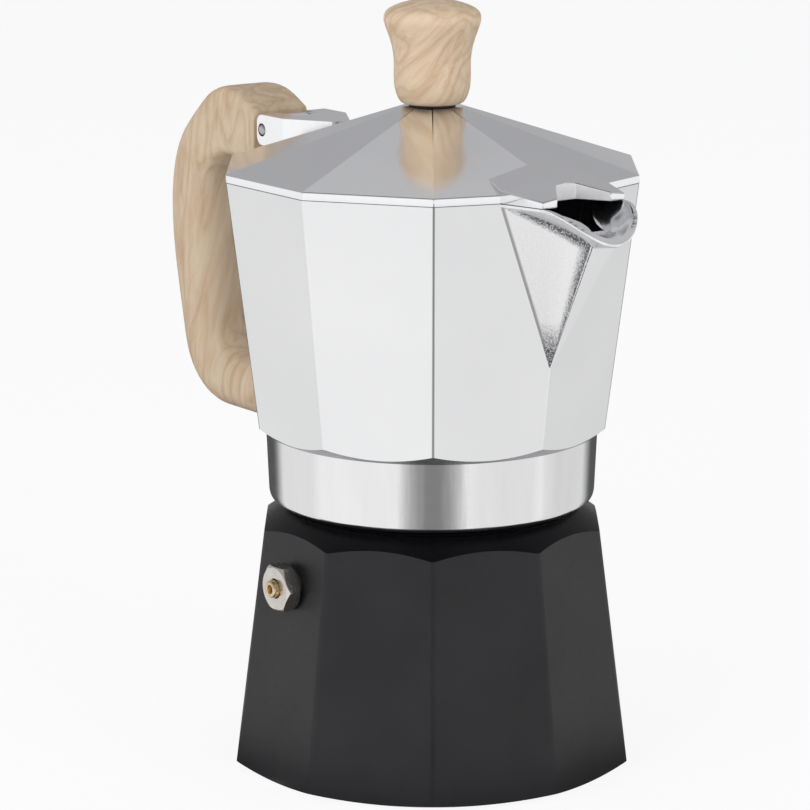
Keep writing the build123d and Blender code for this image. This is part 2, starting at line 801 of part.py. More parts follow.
with BuildPart() as lid:
    with BuildSketch(Plane.XY.offset(collector_top_z)):
        RegularPolygon(collector_top_corner_radius, facet_count)
    extrude(amount=lid_rim_height)
    with BuildSketch(Plane.XY.offset(lid_rim_z)):
        RegularPolygon(collector_top_corner_radius, facet_count)
    extrude(amount=lid_roof_height, taper=roof_taper)
    with BuildSketch(Plane.XY.offset(strap_low_z)):
        with Locations(((pin_x + strap_end_x) / 2, 0)):
            Rectangle(strap_end_setback, strap_width)
        with Locations((strap_end_x, 0)):
            Circle(strap_width / 2)
    extrude(amount=strap_top_z - strap_low_z)
    with BuildSketch(Plane.XZ):
        with Locations((pin_x, pin_z)):
            Circle(strap_barrel_radius)
    extrude(amount=strap_width / 2, both=True)
    add(beak.part)
    with BuildSketch(front_plane):
        with BuildLine():
            FilletPolyline(
                (-hood_half_width, collector_top_z),
                (-hood_half_width, collector_top_z + hood_rise),
                (hood_half_width, collector_top_z + hood_rise),
                (hood_half_width, collector_top_z),
                radius=hood_corner_rounding,
            )
            Line((hood_half_width, collector_top_z), (-hood_half_width, collector_top_z))
        make_face()
    extrude(amount=beak_back_x - beak_x)
    with BuildSketch(Plane.XY.offset(collector_top_z)):
        RegularPolygon(lid_hollow_corner_radius, facet_count)
    extrude(amount=lid_hollow_height, taper=roof_taper, mode=Mode.SUBTRACT)
    with BuildSketch(front_plane):
        with Locations((0, collector_top_z)):
            Rectangle(2 * (hood_half_width - hood_wall), 2 * hood_mouth_rise)
    extrude(amount=spout_back_x - beak_x, mode=Mode.SUBTRACT)
    with BuildSketch(Plane.XY.offset(collector_top_z)):
        with Locations((pin_x + strap_slot_reach, 0)):
            Rectangle(
                strap_slot_reach + strap_barrel_radius + overrun,
                2 * slot_half_width,
                align=(Align.MAX, Align.CENTER),
            )
    extrude(amount=strap_top_z - collector_top_z + overrun, mode=Mode.SUBTRACT)
    with BuildSketch(Plane.XZ):
        with Locations((pin_x, pin_z)):
            Circle(pin_radius + running_clearance)
    extrude(amount=strap_width, both=True, mode=Mode.SUBTRACT)
    with BuildSketch(Plane.XY.offset(lid_hollow_top_z)):
        Circle(knob_screw_radius + assembly_clearance)
    extrude(amount=lid_top_z - lid_hollow_top_z, mode=Mode.SUBTRACT)
lid.part.label = "lid"
export_step(lid.part, "parts/lid.step")

# Knob washer: a thin disc that keeps the knob off the hot lid
with BuildPart() as knob_washer:
    with BuildSketch(Plane.XY.offset(lid_top_z)):
        Circle(knob_washer_radius)
        Circle(knob_screw_radius + assembly_clearance, mode=Mode.SUBTRACT)
    extrude(amount=knob_washer_thickness)
knob_washer.part.label = "knob_washer"
export_step(knob_washer.part, "parts/knob_washer.step")

# Knob: a waisted turning with a flared crown, a domed top and a hole for its insert
knob_top_z = knob_low_z + knob_height
knob_foot_z = knob_low_z + knob_height * knob_foot_height_share
knob_waist_z = knob_low_z + knob_height * knob_waist_height_share
knob_crown_z = knob_low_z + knob_height * knob_crown_height_share
knob_dome_z = knob_low_z + knob_height * knob_dome_height_share
knob_dome_radius = knob_crown_radius * knob_dome_radius_share
knob_insert_low_z = knob_low_z + knob_insert_recess

with BuildPart() as knob:
    with BuildSketch(Plane.XZ):
        with BuildLine():
            Line((0, knob_low_z), (knob_base_radius, knob_low_z))
            TangentArc(
                (knob_waist_radius, knob_foot_z), (knob_base_radius, knob_low_z), tangent=(0, -1)
            )
            Spline(
                (knob_waist_radius, knob_foot_z),
                (knob_waist_radius, knob_waist_z),
                (knob_crown_radius, knob_crown_z),
                tangents=[(0, 1), (0, 1)],
            )
            TangentArc(
                (knob_crown_radius, knob_crown_z), (knob_dome_radius, knob_dome_z), tangent=(0, 1)
            )
            TangentArc((0, knob_top_z), (knob_dome_radius, knob_dome_z), tangent=(1, 0))
            Line((0, knob_top_z), (0, knob_low_z))
        make_face()
    revolve(axis=Axis.Z)
    with BuildSketch(Plane.XY.offset(knob_low_z)):
        Circle(knob_insert_radius + running_clearance)
    extrude(amount=knob_insert_recess + knob_insert_length, mode=Mode.SUBTRACT)
knob.part.label = "knob"
export_step(knob.part, "parts/knob.step")

# Knob insert: a brass bush moulded into the knob
with BuildPart() as knob_insert:
    with BuildSketch(Plane.XY.offset(knob_insert_low_z)):
        Circle(knob_insert_radius)
        Circle(knob_screw_radius + running_clearance, mode=Mode.SUBTRACT)
    extrude(amount=knob_insert_length)
knob_insert.part.label = "knob_insert"
export_step(knob_insert.part, "parts/knob_insert.step")

# Knob screw: a pan-headed screw from inside the lid up into the insert
with BuildPart() as knob_screw:
    with BuildSketch(Plane.XY.offset(lid_hollow_top_z)):
        Circle(knob_screw_head_radius)
    extrude(amount=-knob_screw_head_height)
    fillet(knob_screw.edges().sort_by(Axis.Z)[0], knob_screw_head_height / 2)
    with BuildSketch(Plane.XY.offset(lid_hollow_top_z)):
        Circle(knob_screw_radius)
    extrude(amount=knob_insert_low_z + knob_insert_length - lid_hollow_top_z)
knob_screw.part.label = "knob_screw"
export_step(knob_screw.part, "parts/knob_screw.step")

# Handle: a moulded loop with a block that takes the lug's tail, a leaning grip and a free foot
handle_top_z = pin_z + handle_top_rise
handle_low_z = handle_top_z - handle_drop
handle_out_x = handle_end_x - handle_reach
handle_block_low_z = lug_tail_top_z - handle_block_height + lug_tail_height / 2
handle_nose_z = pin_z + lug_boss_radius + running_clearance
handle_foot_x = handle_end_x + handle_foot_setback
handle_foot_top_z = handle_low_z + handle_foot_height
handle_bend_z = handle_top_z - handle_bend_drop
handle_lean = handle_lean_share * (handle_bend_z - handle_low_z)
handle_corners = (
    ((handle_end_x, handle_block_low_z), 0),
    ((handle_end_x, handle_nose_z), 0),
    ((handle_end_x - handle_nose_run, handle_top_z), handle_nose_radius),
    ((handle_end_x - handle_crown_run, handle_top_z), handle_crown_radius),
    ((handle_out_x, handle_top_z - handle_shoulder_drop), handle_shoulder_radius),
    ((handle_out_x, handle_bend_z), handle_bend_radius),
    ((handle_out_x + handle_lean, handle_low_z), handle_heel_radius),
    ((handle_foot_x, handle_low_z), handle_foot_radius),
    ((handle_foot_x, handle_foot_top_z), handle_toe_radius),
    ((handle_out_x + handle_lean / 2 + handle_grip_depth, handle_foot_top_z), handle_inner_foot_radius),
    ((handle_out_x + handle_grip_depth, handle_block_low_z), handle_inner_top_radius),
)
handle_screw_head_z = handle_block_low_z + handle_screw_head_height
handle_screw_top_z = lug_tail_low_z + lug_tail_height * handle_screw_bite_share

with BuildPart() as handle:
    with BuildSketch(Plane.XZ):
        with BuildLine():
            FilletPolyline(
                [corner for corner, radius in handle_corners],
                radius=[radius for corner, radius in handle_corners],
                close=True,
            )
        make_face()
    extrude(amount=handle_width / 2, both=True)
    side_edges = handle.faces().filter_by(Axis.Y).edges()
    end_edges = handle.faces().sort_by(Axis.X)[-1].edges()
    fillet([edge for edge in side_edges if edge not in end_edges], handle_edge_rounding)
    with BuildSketch(Plane.XZ):
        with BuildLine():
            Polyline(
                (handle_end_x + overrun, lug_tail_low_z - assembly_clearance),
                (lug_tail_x - assembly_clearance, lug_tail_low_z - assembly_clearance),
                (lug_tail_x - assembly_clearance, lug_tail_top_z + assembly_clearance),
                (handle_end_x + overrun, lug_tail_top_z + assembly_clearance),
                close=True,
            )
        make_face()
    extrude(amount=lug_thickness / 2 + assembly_clearance, both=True, mode=Mode.SUBTRACT)
    with BuildSketch(Plane.XY.offset(handle_block_low_z - overrun)):
        with Locations((handle_screw_x, 0)):
            Circle(handle_screw_head_radius + assembly_clearance)
    extrude(amount=handle_screw_head_z - handle_block_low_z + overrun, mode=Mode.SUBTRACT)
    with BuildSketch(Plane.XY.offset(handle_block_low_z)):
        with Locations((handle_screw_x, 0)):
            Circle(handle_screw_radius + assembly_clearance)
    extrude(amount=lug_tail_low_z - handle_block_low_z, mode=Mode.SUBTRACT)
handle.part.label = "handle"
export_step(handle.part, "parts/handle.step")

# Handle screw: from the underside of the block up into the lug's tail
with BuildPart() as handle_screw:
    with BuildSketch(Plane.XY.offset(handle_block_low_z)):
        with Locations((handle_screw_x, 0)):
            Circle(handle_screw_head_radius)
    extrude(amount=handle_screw_head_height)
    with BuildSketch(Plane.XY.offset(handle_screw_head_z)):
        with Locations((handle_screw_x, 0)):
            Circle(handle_screw_radius)
    extrude(amount=handle_screw_top_z - handle_screw_head_z)
handle_screw.part.label = "handle_screw"
export_step(handle_screw.part, "parts/handle_screw.step")
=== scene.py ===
from math import acos, atan2, cos, hypot, pi, radians, sin, tan

import bpy
from mathutils import Matrix, Vector


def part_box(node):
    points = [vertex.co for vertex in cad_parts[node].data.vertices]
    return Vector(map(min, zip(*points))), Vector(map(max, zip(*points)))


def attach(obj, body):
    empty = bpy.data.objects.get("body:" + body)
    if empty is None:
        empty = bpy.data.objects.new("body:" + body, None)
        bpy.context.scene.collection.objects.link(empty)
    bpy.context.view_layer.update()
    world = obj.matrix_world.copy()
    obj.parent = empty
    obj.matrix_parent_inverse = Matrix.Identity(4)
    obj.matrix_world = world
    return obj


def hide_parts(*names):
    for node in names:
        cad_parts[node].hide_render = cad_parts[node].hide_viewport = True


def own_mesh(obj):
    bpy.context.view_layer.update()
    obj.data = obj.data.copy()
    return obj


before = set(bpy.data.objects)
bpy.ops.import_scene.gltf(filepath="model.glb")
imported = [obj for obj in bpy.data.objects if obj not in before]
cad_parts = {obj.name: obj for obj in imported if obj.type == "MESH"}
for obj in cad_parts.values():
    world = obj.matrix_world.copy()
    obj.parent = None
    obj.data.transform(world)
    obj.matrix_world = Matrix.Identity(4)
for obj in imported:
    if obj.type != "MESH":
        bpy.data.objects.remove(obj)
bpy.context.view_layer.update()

# Boiler: the lower chamber, a ten-sided aluminium casting with satin black lacquer on its outside.
# Foot and shoulder are turned on a lathe, which leaves a scalloped edge where they cross the flats.
mm = 0.001
facets = 10
half_facet = pi / facets


def fresh():
    """Ends any edit and selects nothing."""
    if bpy.context.mode == "EDIT_MESH":
        bpy.ops.object.mode_set(mode="OBJECT")
    bpy.ops.object.select_all(action="DESELECT")


def active(piece):
    """Selects one piece and nothing else."""
    fresh()
    bpy.context.view_layer.objects.active = piece
    piece.select_set(True)


def named(name):
    """Names the primitive just added and puts its place into its mesh."""
    piece = bpy.context.object
    piece.name = piece.data.name = name
    bpy.ops.object.transform_apply(location=True, rotation=True, scale=True)
    return piece


def applied(piece, kind, **settings):
    """Adds a modifier to a piece and applies it."""
    active(piece)
    modifier = piece.modifiers.new(kind.title(), kind)
    for setting, value in settings.items():
        setattr(modifier, setting, value)
    bpy.ops.object.modifier_apply(modifier=modifier.name)


def carve(piece, tool, operation="DIFFERENCE"):
    """Cuts, joins or trims a piece with a second solid, which is then thrown away."""
    applied(piece, "BOOLEAN", object=tool, operation=operation, solver="EXACT")
    bpy.data.objects.remove(tool)


def pick(piece, kind, wanted):
    """Selects the corners, edges or faces of a piece whose points, in mm, are wanted."""
    active(piece)
    bpy.ops.object.mode_set(mode="EDIT")
    bpy.ops.mesh.select_mode(type=kind)
    bpy.ops.mesh.select_all(action="DESELECT")
    bpy.ops.object.mode_set(mode="OBJECT")
    points = [vertex.co / mm for vertex in piece.data.vertices]
    if kind == "VERT":
        for vertex, point in zip(piece.data.vertices, points):
            vertex.select = wanted([point])
    else:
        for item in piece.data.edges if kind == "EDGE" else piece.data.polygons:
            item.select = wanted([points[corner] for corner in item.vertices])
    bpy.ops.object.mode_set(mode="EDIT")


def edit_all(piece, kind="VERT"):
    """Opens a piece for edits with all of it selected."""
    active(piece)
    bpy.ops.object.mode_set(mode="EDIT")
    bpy.ops.mesh.select_mode(type=kind)
    bpy.ops.mesh.select_all(action="SELECT")


def closed_up(piece):
    """Merges what coincides, fills open ends and turns the faces outwards."""
    edit_all(piece)
    bpy.ops.mesh.remove_doubles(threshold=0.0005 * mm)
    bpy.ops.mesh.fill_holes(sides=0)
    bpy.ops.mesh.select_all(action="SELECT")
    bpy.ops.mesh.normals_make_consistent(inside=False)
    bpy.ops.object.mode_set(mode="OBJECT")
    return piece


def turned(name, outline, around=120, ring=False):
    """Turns (radius, height) points in mm round the axis; a ring's last point joins its first."""
    fresh()
    bpy.ops.mesh.primitive_circle_add(
        vertices=around, radius=outline[0][0] * mm, location=(0, 0, outline[0][1] * mm)
    )
    piece = named(name)
    path = outline + outline[:1] if ring else outline
    edit_all(piece, "EDGE")
    for (radius, height), (next_radius, next_height) in zip(path, path[1:]):
        rise = (0, 0, (next_height - height) * mm)
        bpy.ops.mesh.extrude_edges_move(TRANSFORM_OT_translate={"value": rise})
        share = next_radius / radius
        bpy.ops.transform.resize(value=(share, share, 1))
    return closed_up(piece)


def slanting(points):
    return abs(points[0].z - points[1].z) > 1


def faceted(name, low, top, rounding):
    """A ten-sided cone between two (corner radius, height) pairs, its long edges rounded."""
    fresh()
    bpy.ops.mesh.primitive_cone_add(
        vertices=facets, radius1=low[0] * mm, radius2=top[0] * mm, depth=(top[1] - low[1]) * mm,
        location=(0, 0, (low[1] + top[1]) / 2 * mm), rotation=(0, 0, half_facet),
    )
    piece = named(name)
    if rounding:
        pick(piece, "EDGE", slanting)
        bpy.ops.mesh.bevel(offset=rounding * mm, segments=4, affect="EDGES")
        bpy.ops.object.mode_set(mode="OBJECT")
    return piece


def softened(piece, width, angle=30, segments=3):
    """Rounds off every edge that is sharper than an angle."""
    applied(
        piece, "BEVEL", width=width * mm, segments=segments, limit_method="ANGLE",
        angle_limit=radians(angle), use_clamp_overlap=True,
    )


def dressed(piece, finishes, body, slot, *nodes):
    """Smooths a piece, gives it its finishes and fixes it to the body that carries it."""
    active(piece)
    bpy.ops.object.shade_smooth_by_angle(angle=radians(32))
    applied(piece, "WEIGHTED_NORMAL", keep_sharp=True, weight=60)
    piece.data.materials.clear()
    for each in finishes:
        piece.data.materials.append(each)
    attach(piece, body)
    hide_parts(*nodes)
    return piece


def painted(piece, index, wanted):
    """Gives the piece's other finish to the faces whose middle, in mm, and normal are wanted."""
    for face in piece.data.polygons:
        if wanted(face.center / mm, face.normal):
            face.material_index = index


def add_node(tree, kind, inputs=None, **settings):
    """Adds a node to a finish, joining the sockets it is fed by and setting the others."""
    made = tree.nodes.new("ShaderNode" + kind)
    for setting, value in settings.items():
        setattr(made, setting, value)
    for socket, value in (inputs or {}).items():
        if isinstance(value, bpy.types.NodeSocket):
            tree.links.new(value, made.inputs[socket])
        else:
            made.inputs[socket].default_value = value
    return made


def new_finish(name, metallic=0.0, **sockets):
    """A finish to be worked up, and the places of the surface in mm that its patterns lie by."""
    material = bpy.data.materials.new(name)
    material.use_nodes = True
    tree = material.node_tree
    shader = tree.nodes["Principled BSDF"]
    shader.inputs["Metallic"].default_value = metallic
    for socket, value in sockets.items():
        shader.inputs[socket.replace("_", " ")].default_value = value
    spots = add_node(tree, "TexCoord").outputs["Object"]
    place = add_node(tree, "Mapping", {"Vector": spots, "Scale": (1000, 1000, 1000)})
    return material, shader, place.outputs["Vector"]


def stretched(place, scale, turn=(0, 0, 0)):
    """Places turned, then stretched along the axes, for streaks and grain."""
    for change in ({"Rotation": turn}, {"Scale": scale}):
        place = add_node(place.id_data, "Mapping", {"Vector": place, **change}).outputs["Vector"]
    return place


def speckle(place, scale, detail=2.0, roughness=0.5):
    """Cloudy noise, its scale in features to the mm."""
    noise = {"Vector": place, "Scale": scale, "Detail": detail, "Roughness": roughness}
    return add_node(place.id_data, "TexNoise", noise).outputs["Fac"]


def spread(factor, low, high, start=0.25, end=0.75):
    """Takes a noise between two levels to a range of values."""
    levels = {"Value": factor, "From Min": start, "From Max": end, "To Min": low, "To Max": high}
    return add_node(factor.id_data, "MapRange", levels).outputs["Result"]


def tinted(factor, *stops):
    """Takes a noise to colours, each given at its level."""
    made = add_node(factor.id_data, "ValToRGB", {"Fac": factor})
    while len(made.color_ramp.elements) < len(stops):
        made.color_ramp.elements.new(0.5)
    for element, (level, colour) in zip(made.color_ramp.elements, stops):
        element.position = level
        element.color = (*colour, 1)
    return made.outputs["Color"]


def worked_up(shader, colour, roughness, *bumps):
    """Gives a finish its colour, roughness and bumps, each a height pattern with its depth in mm."""
    feeds = {"Base Color": colour, "Roughness": roughness}
    for height, depth in bumps:
        inputs = {"Height": height, "Distance": depth * mm, "Strength": 1.0}
        if "Normal" in feeds:
            inputs["Normal"] = feeds["Normal"]
        feeds["Normal"] = add_node(shader.id_data, "Bump", inputs).outputs["Normal"]
    for socket, feed in feeds.items():
        shader.id_data.links.new(feed, shader.inputs[socket])


def two_toned(name, metallic, stops, sheen, depth, grain, clouds=None, stretch=None, **sockets):
    """A finish whose fine grain gives roughness and bumps, and whose colours follow it or clouds."""
    material, shader, place = new_finish(name, metallic, **sockets)
    fine = speckle(stretched(place, stretch) if stretch else place, *grain)
    broad = speckle(place, *clouds) if clouds else fine
    worked_up(shader, tinted(broad, *stops), spread(fine, *sheen), (fine, depth))
    return material


lacquer, shader, place = new_finish("satin_black_lacquer", Specular_IOR_Level=0.4)
peel = speckle(place, 1.3, 2)
clouds = speckle(place, 0.05, 3)
worked_up(
    shader, tinted(clouds, (0.35, (0.0095, 0.0095, 0.011)), (0.65, (0.0135, 0.0135, 0.0152))),
    spread(peel, 0.36, 0.45), (peel, 0.004), (clouds, 0.03),
)

# Painted shade: a darker, less glossy copy of the lacquer, for the shoulder under the collector's overhang
# and for the neck's foot in the gap below the skirt.
painted_shade_lacquer = two_toned(
    "painted_shade_lacquer", 0.0, [(0.35, (0.0025, 0.0025, 0.003)), (0.65, (0.004, 0.004, 0.005))],
    sheen=(0.3, 0.4), depth=0.003, grain=(1.3, 2), Specular_IOR_Level=0.11,
)

bare_casting = two_toned(
    "bare_cast_aluminium", 0.55, [(0.3, (0.56, 0.56, 0.57)), (0.7, (0.70, 0.70, 0.71))],
    sheen=(0.34, 0.52), depth=0.012, grain=(2.2, 3), clouds=(0.12, 3),
)

boiler_low, boiler_top = (45.675, 0), (38.076, 58)
valve_low, valve_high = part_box("valve_body")
valve_z = (valve_low.z + valve_high.z) / 2 / mm
bore_radius, bore_length, bore_y = 3.85, 20, -40
boiler_body = faceted("boiler_body", boiler_low, boiler_top, 0.75)
carve(
    boiler_body,
    turned("boiler_lathe_cut", [(39.6, 0), (51.4, 4.272), (51.4, 44.857), (33.0, 58.0)], 160),
    "INTERSECT",
)
carve(
    boiler_body,
    turned(
        "boiler_cavity",
        [(35.3, 4.5), (36.9, 4.8), (38.1, 5.7), (38.8, 6.9), (38.9, 8.2), (33.21, 52.25),
         (29.4, 54.97), (29.4, 60.0)],
    ),
)
fresh()
bpy.ops.mesh.primitive_cylinder_add(
    vertices=64, radius=bore_radius * mm, depth=bore_length * mm, rotation=(pi / 2, 0, 0),
    location=(0, bore_y * mm, valve_z * mm),
)
carve(boiler_body, named("valve_bore"))
softened(boiler_body, 0.45, 24, 3)
dressed(boiler_body, [lacquer, bare_casting, painted_shade_lacquer], "boiler", "black_lacquer", "boiler")


def unlacquered(middle, normal):
    inside = middle.x * normal.x + middle.y * normal.y < -1 and middle.z > 4
    floor = 4 < middle.z < 5 and normal.z > 0.9
    foot = normal.z < -0.55
    return inside or floor or foot


painted(boiler_body, 1, unlacquered)
# The shoulder's faces take the painted shade lacquer.
painted(boiler_body, 2, lambda middle, normal: middle.z > 46 and normal.z > 0.6)

# Boiler neck: the threaded end of the casting that the collector screws onto, left bare. Its 3 mm
# thread is cut on the lathe, and the mouth is faced flat so that the funnel's flange seals on it.
thread_pitch, painted_shade_z = 3.0, 58.75
lathe_metal = two_toned(
    "lathe_turned_aluminium", 1.0, [(0.3, (0.74, 0.74, 0.75)), (0.7, (0.83, 0.83, 0.84))],
    sheen=(0.2, 0.34), depth=0.006, grain=(1.0, 2), clouds=(0.1, 2), stretch=(0.25, 0.25, 9),
)


def helix(name, section, turns, pitch):
    """Sweeps a closed section of (radius, height) points in mm up a right-handed thread."""
    fresh()
    bpy.ops.mesh.primitive_circle_add(vertices=len(section), radius=mm)
    piece = named(name)
    for vertex, (radius, height) in zip(piece.data.vertices, section):
        vertex.co = (radius * mm, 0, height * mm)
    steps = round(96 * turns)
    applied(
        piece, "SCREW", axis="Z", angle=2 * pi * turns, screw_offset=pitch * turns * mm,
        steps=steps, render_steps=steps, use_merge_vertices=False,
    )
    return closed_up(piece)


boiler_neck = turned(
    "boiler_neck",
    [(31.6, 56.5), (31.6, 58.3), (31.2, 58.7), (31.2, 67.2), (30.6, 68.0), (29.9, 68.0), (29.4, 67.5),
     (29.4, 56.5)],
    ring=True,
)
dressed(boiler_neck, [lathe_metal, painted_shade_lacquer], "boiler", "plain_aluminium", "boiler")
# Painted shade: the neck's foot, in the gap under the skirt, takes the darker lacquer.
painted(boiler_neck, 1, lambda middle, normal: middle.z < painted_shade_z)
thread = [(31.0, 59.1), (32.1, 59.75), (32.1, 60.25), (31.0, 60.9)]
boiler_thread = helix("boiler_thread", thread, 2.4, thread_pitch)
dressed(boiler_thread, [lathe_metal], "boiler", "plain_aluminium", "boiler")

# Safety valve body: a hexagon and a hollow shank, turned from brass bar and nickel-plated, that
# screw into the boiler's side. The moving pieces of the valve sit in the shank.
nickel = two_toned(
    "nickel_plate", 1.0, [(0.3, (0.66, 0.62, 0.58)), (0.7, (0.76, 0.72, 0.68))],
    sheen=(0.12, 0.3), depth=0.006, grain=(1.4, 4, 0.6), clouds=(0.3, 2),
)

washer_low, washer_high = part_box("valve_washer")
hex_face_y, hex_back_y, shank_end_y = valve_low.y / mm, washer_low.y / mm, valve_high.y / mm
hex_flats, hex_length, shank_length = 9.5, hex_back_y - hex_face_y, shank_end_y - hex_back_y


def laid_down(piece, x, y, z):
    """Turns a piece made upright to point towards -Y, its foot at a place in mm."""
    piece.data.transform(Matrix.Translation((x * mm, y * mm, z * mm)) @ Matrix.Rotation(pi / 2, 4, "X"))
    return piece


fresh()
bpy.ops.mesh.primitive_cylinder_add(
    vertices=6, radius=hex_flats / 2 / cos(pi / 6) * mm, depth=hex_length * mm,
    location=(0, 0, hex_length / 2 * mm), rotation=(0, 0, pi / 6),
)
valve_hexagon = named("valve_hexagon")
carve(
    valve_hexagon,
    turned(
        "hexagon_chamfer",
        [(5.1, -0.2), (5.6, 0.3), (5.6, hex_length - 0.75), (5.2, hex_length - 0.35), (4.55, hex_length)],
        72,
    ),
    "INTERSECT",
)
carve(
    valve_hexagon,
    turned("hexagon_bore", [(2.05, -1), (2.05, hex_length - 0.3), (2.4, hex_length + 0.2)], 48),
)
softened(valve_hexagon, 0.12, 28, 2)
laid_down(valve_hexagon, 0, hex_back_y, valve_z)
dressed(valve_hexagon, [nickel], "boiler", "nickel", "valve_body")

valve_shank = turned(
    "valve_shank",
    [(1.3, 0), (3.4, 0), (3.9, 0.5), (3.9, shank_length + 0.2), (2.9, shank_length + 0.2),
     (2.9, 1.2), (1.3, 1.2)],
    64, True,
)
laid_down(valve_shank, 0, shank_end_y, valve_z)
dressed(valve_shank, [nickel], "boiler", "nickel", "valve_body")

# Valve washer: a ring punched from black rubber and squeezed between the hexagon and the boiler's
# wall, which keeps the hole for the shank tight.
seal_rubber = two_toned(
    "black_seal_rubber", 0.0, [(0.35, (0.012, 0.012, 0.013)), (0.75, (0.03, 0.03, 0.031))],
    sheen=(0.55, 0.8), depth=0.02, grain=(1.6, 4, 0.6),
)

wall_y = washer_high.y / mm
washer_thickness = wall_y - hex_back_y
valve_washer = turned(
    "valve_washer_ring",
    [(4.0, 0), (5.1, 0), (5.2, 0.1), (5.2, washer_thickness - 0.1), (5.1, washer_thickness),
     (4.0, washer_thickness)],
    64, True,
)
laid_down(valve_washer, 0, wall_y, valve_z)
dressed(valve_washer, [seal_rubber], "boiler", "dark_seal", "valve_washer")

# Valve spring: a coil of steel wire in the shank that holds the stem in. Its outer end stays where it is,
# and the coil is squashed when the stem lifts; here the coil is drawn at rest, with a mesh of its own.
spring_steel = two_toned(
    "plain_steel", 1.0, [(0.3, (0.42, 0.42, 0.44)), (0.7, (0.58, 0.58, 0.60))],
    sheen=(0.2, 0.4), depth=0.008, grain=(1.2, 4, 0.6),
)

valve_travel, coils, coil_radius, wire_radius = 1.5, 5, 2.4, 0.3
spring_low, spring_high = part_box("valve_spring")
coil_length = (spring_high.y - spring_low.y) / mm
wire = [
    (coil_radius + wire_radius * cos(step * pi / 5), wire_radius + wire_radius * sin(step * pi / 5))
    for step in range(10)
]
valve_coil = helix("valve_coil", wire, coils, (coil_length - 2 * wire_radius) / coils)
laid_down(valve_coil, 0, spring_high.y / mm, valve_z)
dressed(valve_coil, [spring_steel], "boiler", "steel", "valve_spring")
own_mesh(valve_coil)

# Valve stem: a pin turned from brass that slides outward when the pressure is too high. Its hollow
# end shows in the middle of the hexagon.
brass = two_toned(
    "turned_brass", 1.0, [(0.3, (0.66, 0.50, 0.27)), (0.7, (0.82, 0.68, 0.44))],
    sheen=(0.16, 0.32), depth=0.008, grain=(2.0, 3),
)

stem_low, stem_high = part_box("valve_stem")
stem_length = (stem_high.y - stem_low.y) / mm
valve_pin = turned(
    "valve_pin",
    [(0.9, stem_length - 2.5), (0.9, stem_length - 0.25), (1.0, stem_length - 0.08), (1.2, stem_length),
     (1.6, stem_length - 0.05), (1.8, stem_length - 0.2), (1.9, stem_length - 0.45), (1.9, 0.8),
     (2.5, 0.8), (2.5, 0), (0.05, 0), (0.05, stem_length - 2.8)],
    56, True,
)
laid_down(valve_pin, 0, stem_high.y / mm, valve_z)
dressed(valve_pin, [brass], "valve_stem", "brass", "valve_stem")

# Valve seal: a disc punched from black rubber and stuck to the stem's inner end. It moves with the
# stem.
seal_low, seal_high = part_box("valve_seal")
seal_thickness = (seal_high.y - seal_low.y) / mm
valve_disc = turned(
    "valve_disc",
    [(0.05, 0), (2.3, 0), (2.5, 0.2), (2.5, seal_thickness - 0.05), (2.4, seal_thickness),
     (0.05, seal_thickness)],
    48, True,
)
laid_down(valve_disc, 0, seal_high.y / mm, valve_z)
dressed(valve_disc, [seal_rubber], "valve_stem", "dark_seal", "valve_seal")

# Funnel: a thin aluminium basket that holds the ground coffee, drawn from sheet, with a pressed
# flange that hangs on the boiler's mouth and a tube that reaches down to the water.
sheet_metal = two_toned(
    "satin_sheet_aluminium", 1.0, [(0.3, (0.66, 0.66, 0.67)), (0.7, (0.77, 0.77, 0.78))],
    sheen=(0.28, 0.42), depth=0.008, grain=(1.0, 3), clouds=(0.15, 3), stretch=(0.4, 0.4, 5),
)

funnel_shell = turned(
    "funnel_shell",
    [(31.6, 68.0), (31.8, 68.2), (31.8, 68.6), (31.6, 68.8), (28.6, 68.8), (28.2, 68.5), (28.0, 68.0),
     (28.0, 48.0), (26.8, 47.9), (26.6, 47.2), (5.3, 38.6), (4.6, 37.6), (4.5, 8.2), (4.7, 8.0),
     (5.3, 8.0), (5.5, 8.2), (5.5, 37.2), (6.2, 38.0), (27.4, 46.6), (28.6, 47.0), (29.0, 47.4),
     (29.0, 67.2), (29.3, 67.8), (29.8, 68.0)],
    ring=True,
)
dressed(funnel_shell, [sheet_metal], "funnel", "plain_aluminium", "funnel")

# Basket sieve: a punched disc pressed onto the ledge at the foot of the basket, so that water
# rises through the coffee and the coffee stays up.
sieve_low, sieve_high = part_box("basket_sieve")


def punched(name, radius, pitch, hole, low, thickness):
    """A disc of sheet, in mm, with staggered rows of punched holes and a plain rim."""
    rows = 2 * int(radius / pitch) + 4
    fresh()
    bpy.ops.mesh.primitive_grid_add(x_subdivisions=rows, y_subdivisions=rows, size=rows * pitch * mm)
    piece = named(name)
    row_height = pitch * sin(pi / 3)
    for vertex in piece.data.vertices:
        row = round(vertex.co.y / (pitch * mm))
        vertex.co.x += (row % 2) * pitch / 2 * mm
        vertex.co.y = row * row_height * mm
        vertex.co.z = low * mm
    edit_all(piece)
    bpy.ops.mesh.quads_convert_to_tris(quad_method="SHORTEST_DIAGONAL")
    reach = radius - pitch * 0.8
    pick(piece, "VERT", lambda points: hypot(points[0].x, points[0].y) < reach)
    bpy.ops.mesh.bevel(offset=hole * mm, segments=2, affect="VERTICES", offset_type="OFFSET")
    widest = 2.6 * hole
    pick(
        piece, "FACE",
        lambda points: len(points) > 6 and max((a - b).length for a in points for b in points) < widest,
    )
    bpy.ops.mesh.delete(type="FACE")
    applied(piece, "SOLIDIFY", thickness=thickness * mm, offset=1.0)
    blank = turned(name + "_blank", [(radius, low - 1), (radius, low + thickness + 1)], 128)
    carve(piece, blank, "INTERSECT")
    return piece


basket_sieve = punched(
    "sieve_plate", radius=sieve_high.x / mm, pitch=3.0, hole=0.55, low=sieve_low.z / mm,
    thickness=(sieve_high.z - sieve_low.z) / mm,
)
dressed(basket_sieve, [sheet_metal], "funnel", "plain_aluminium", "basket_sieve")

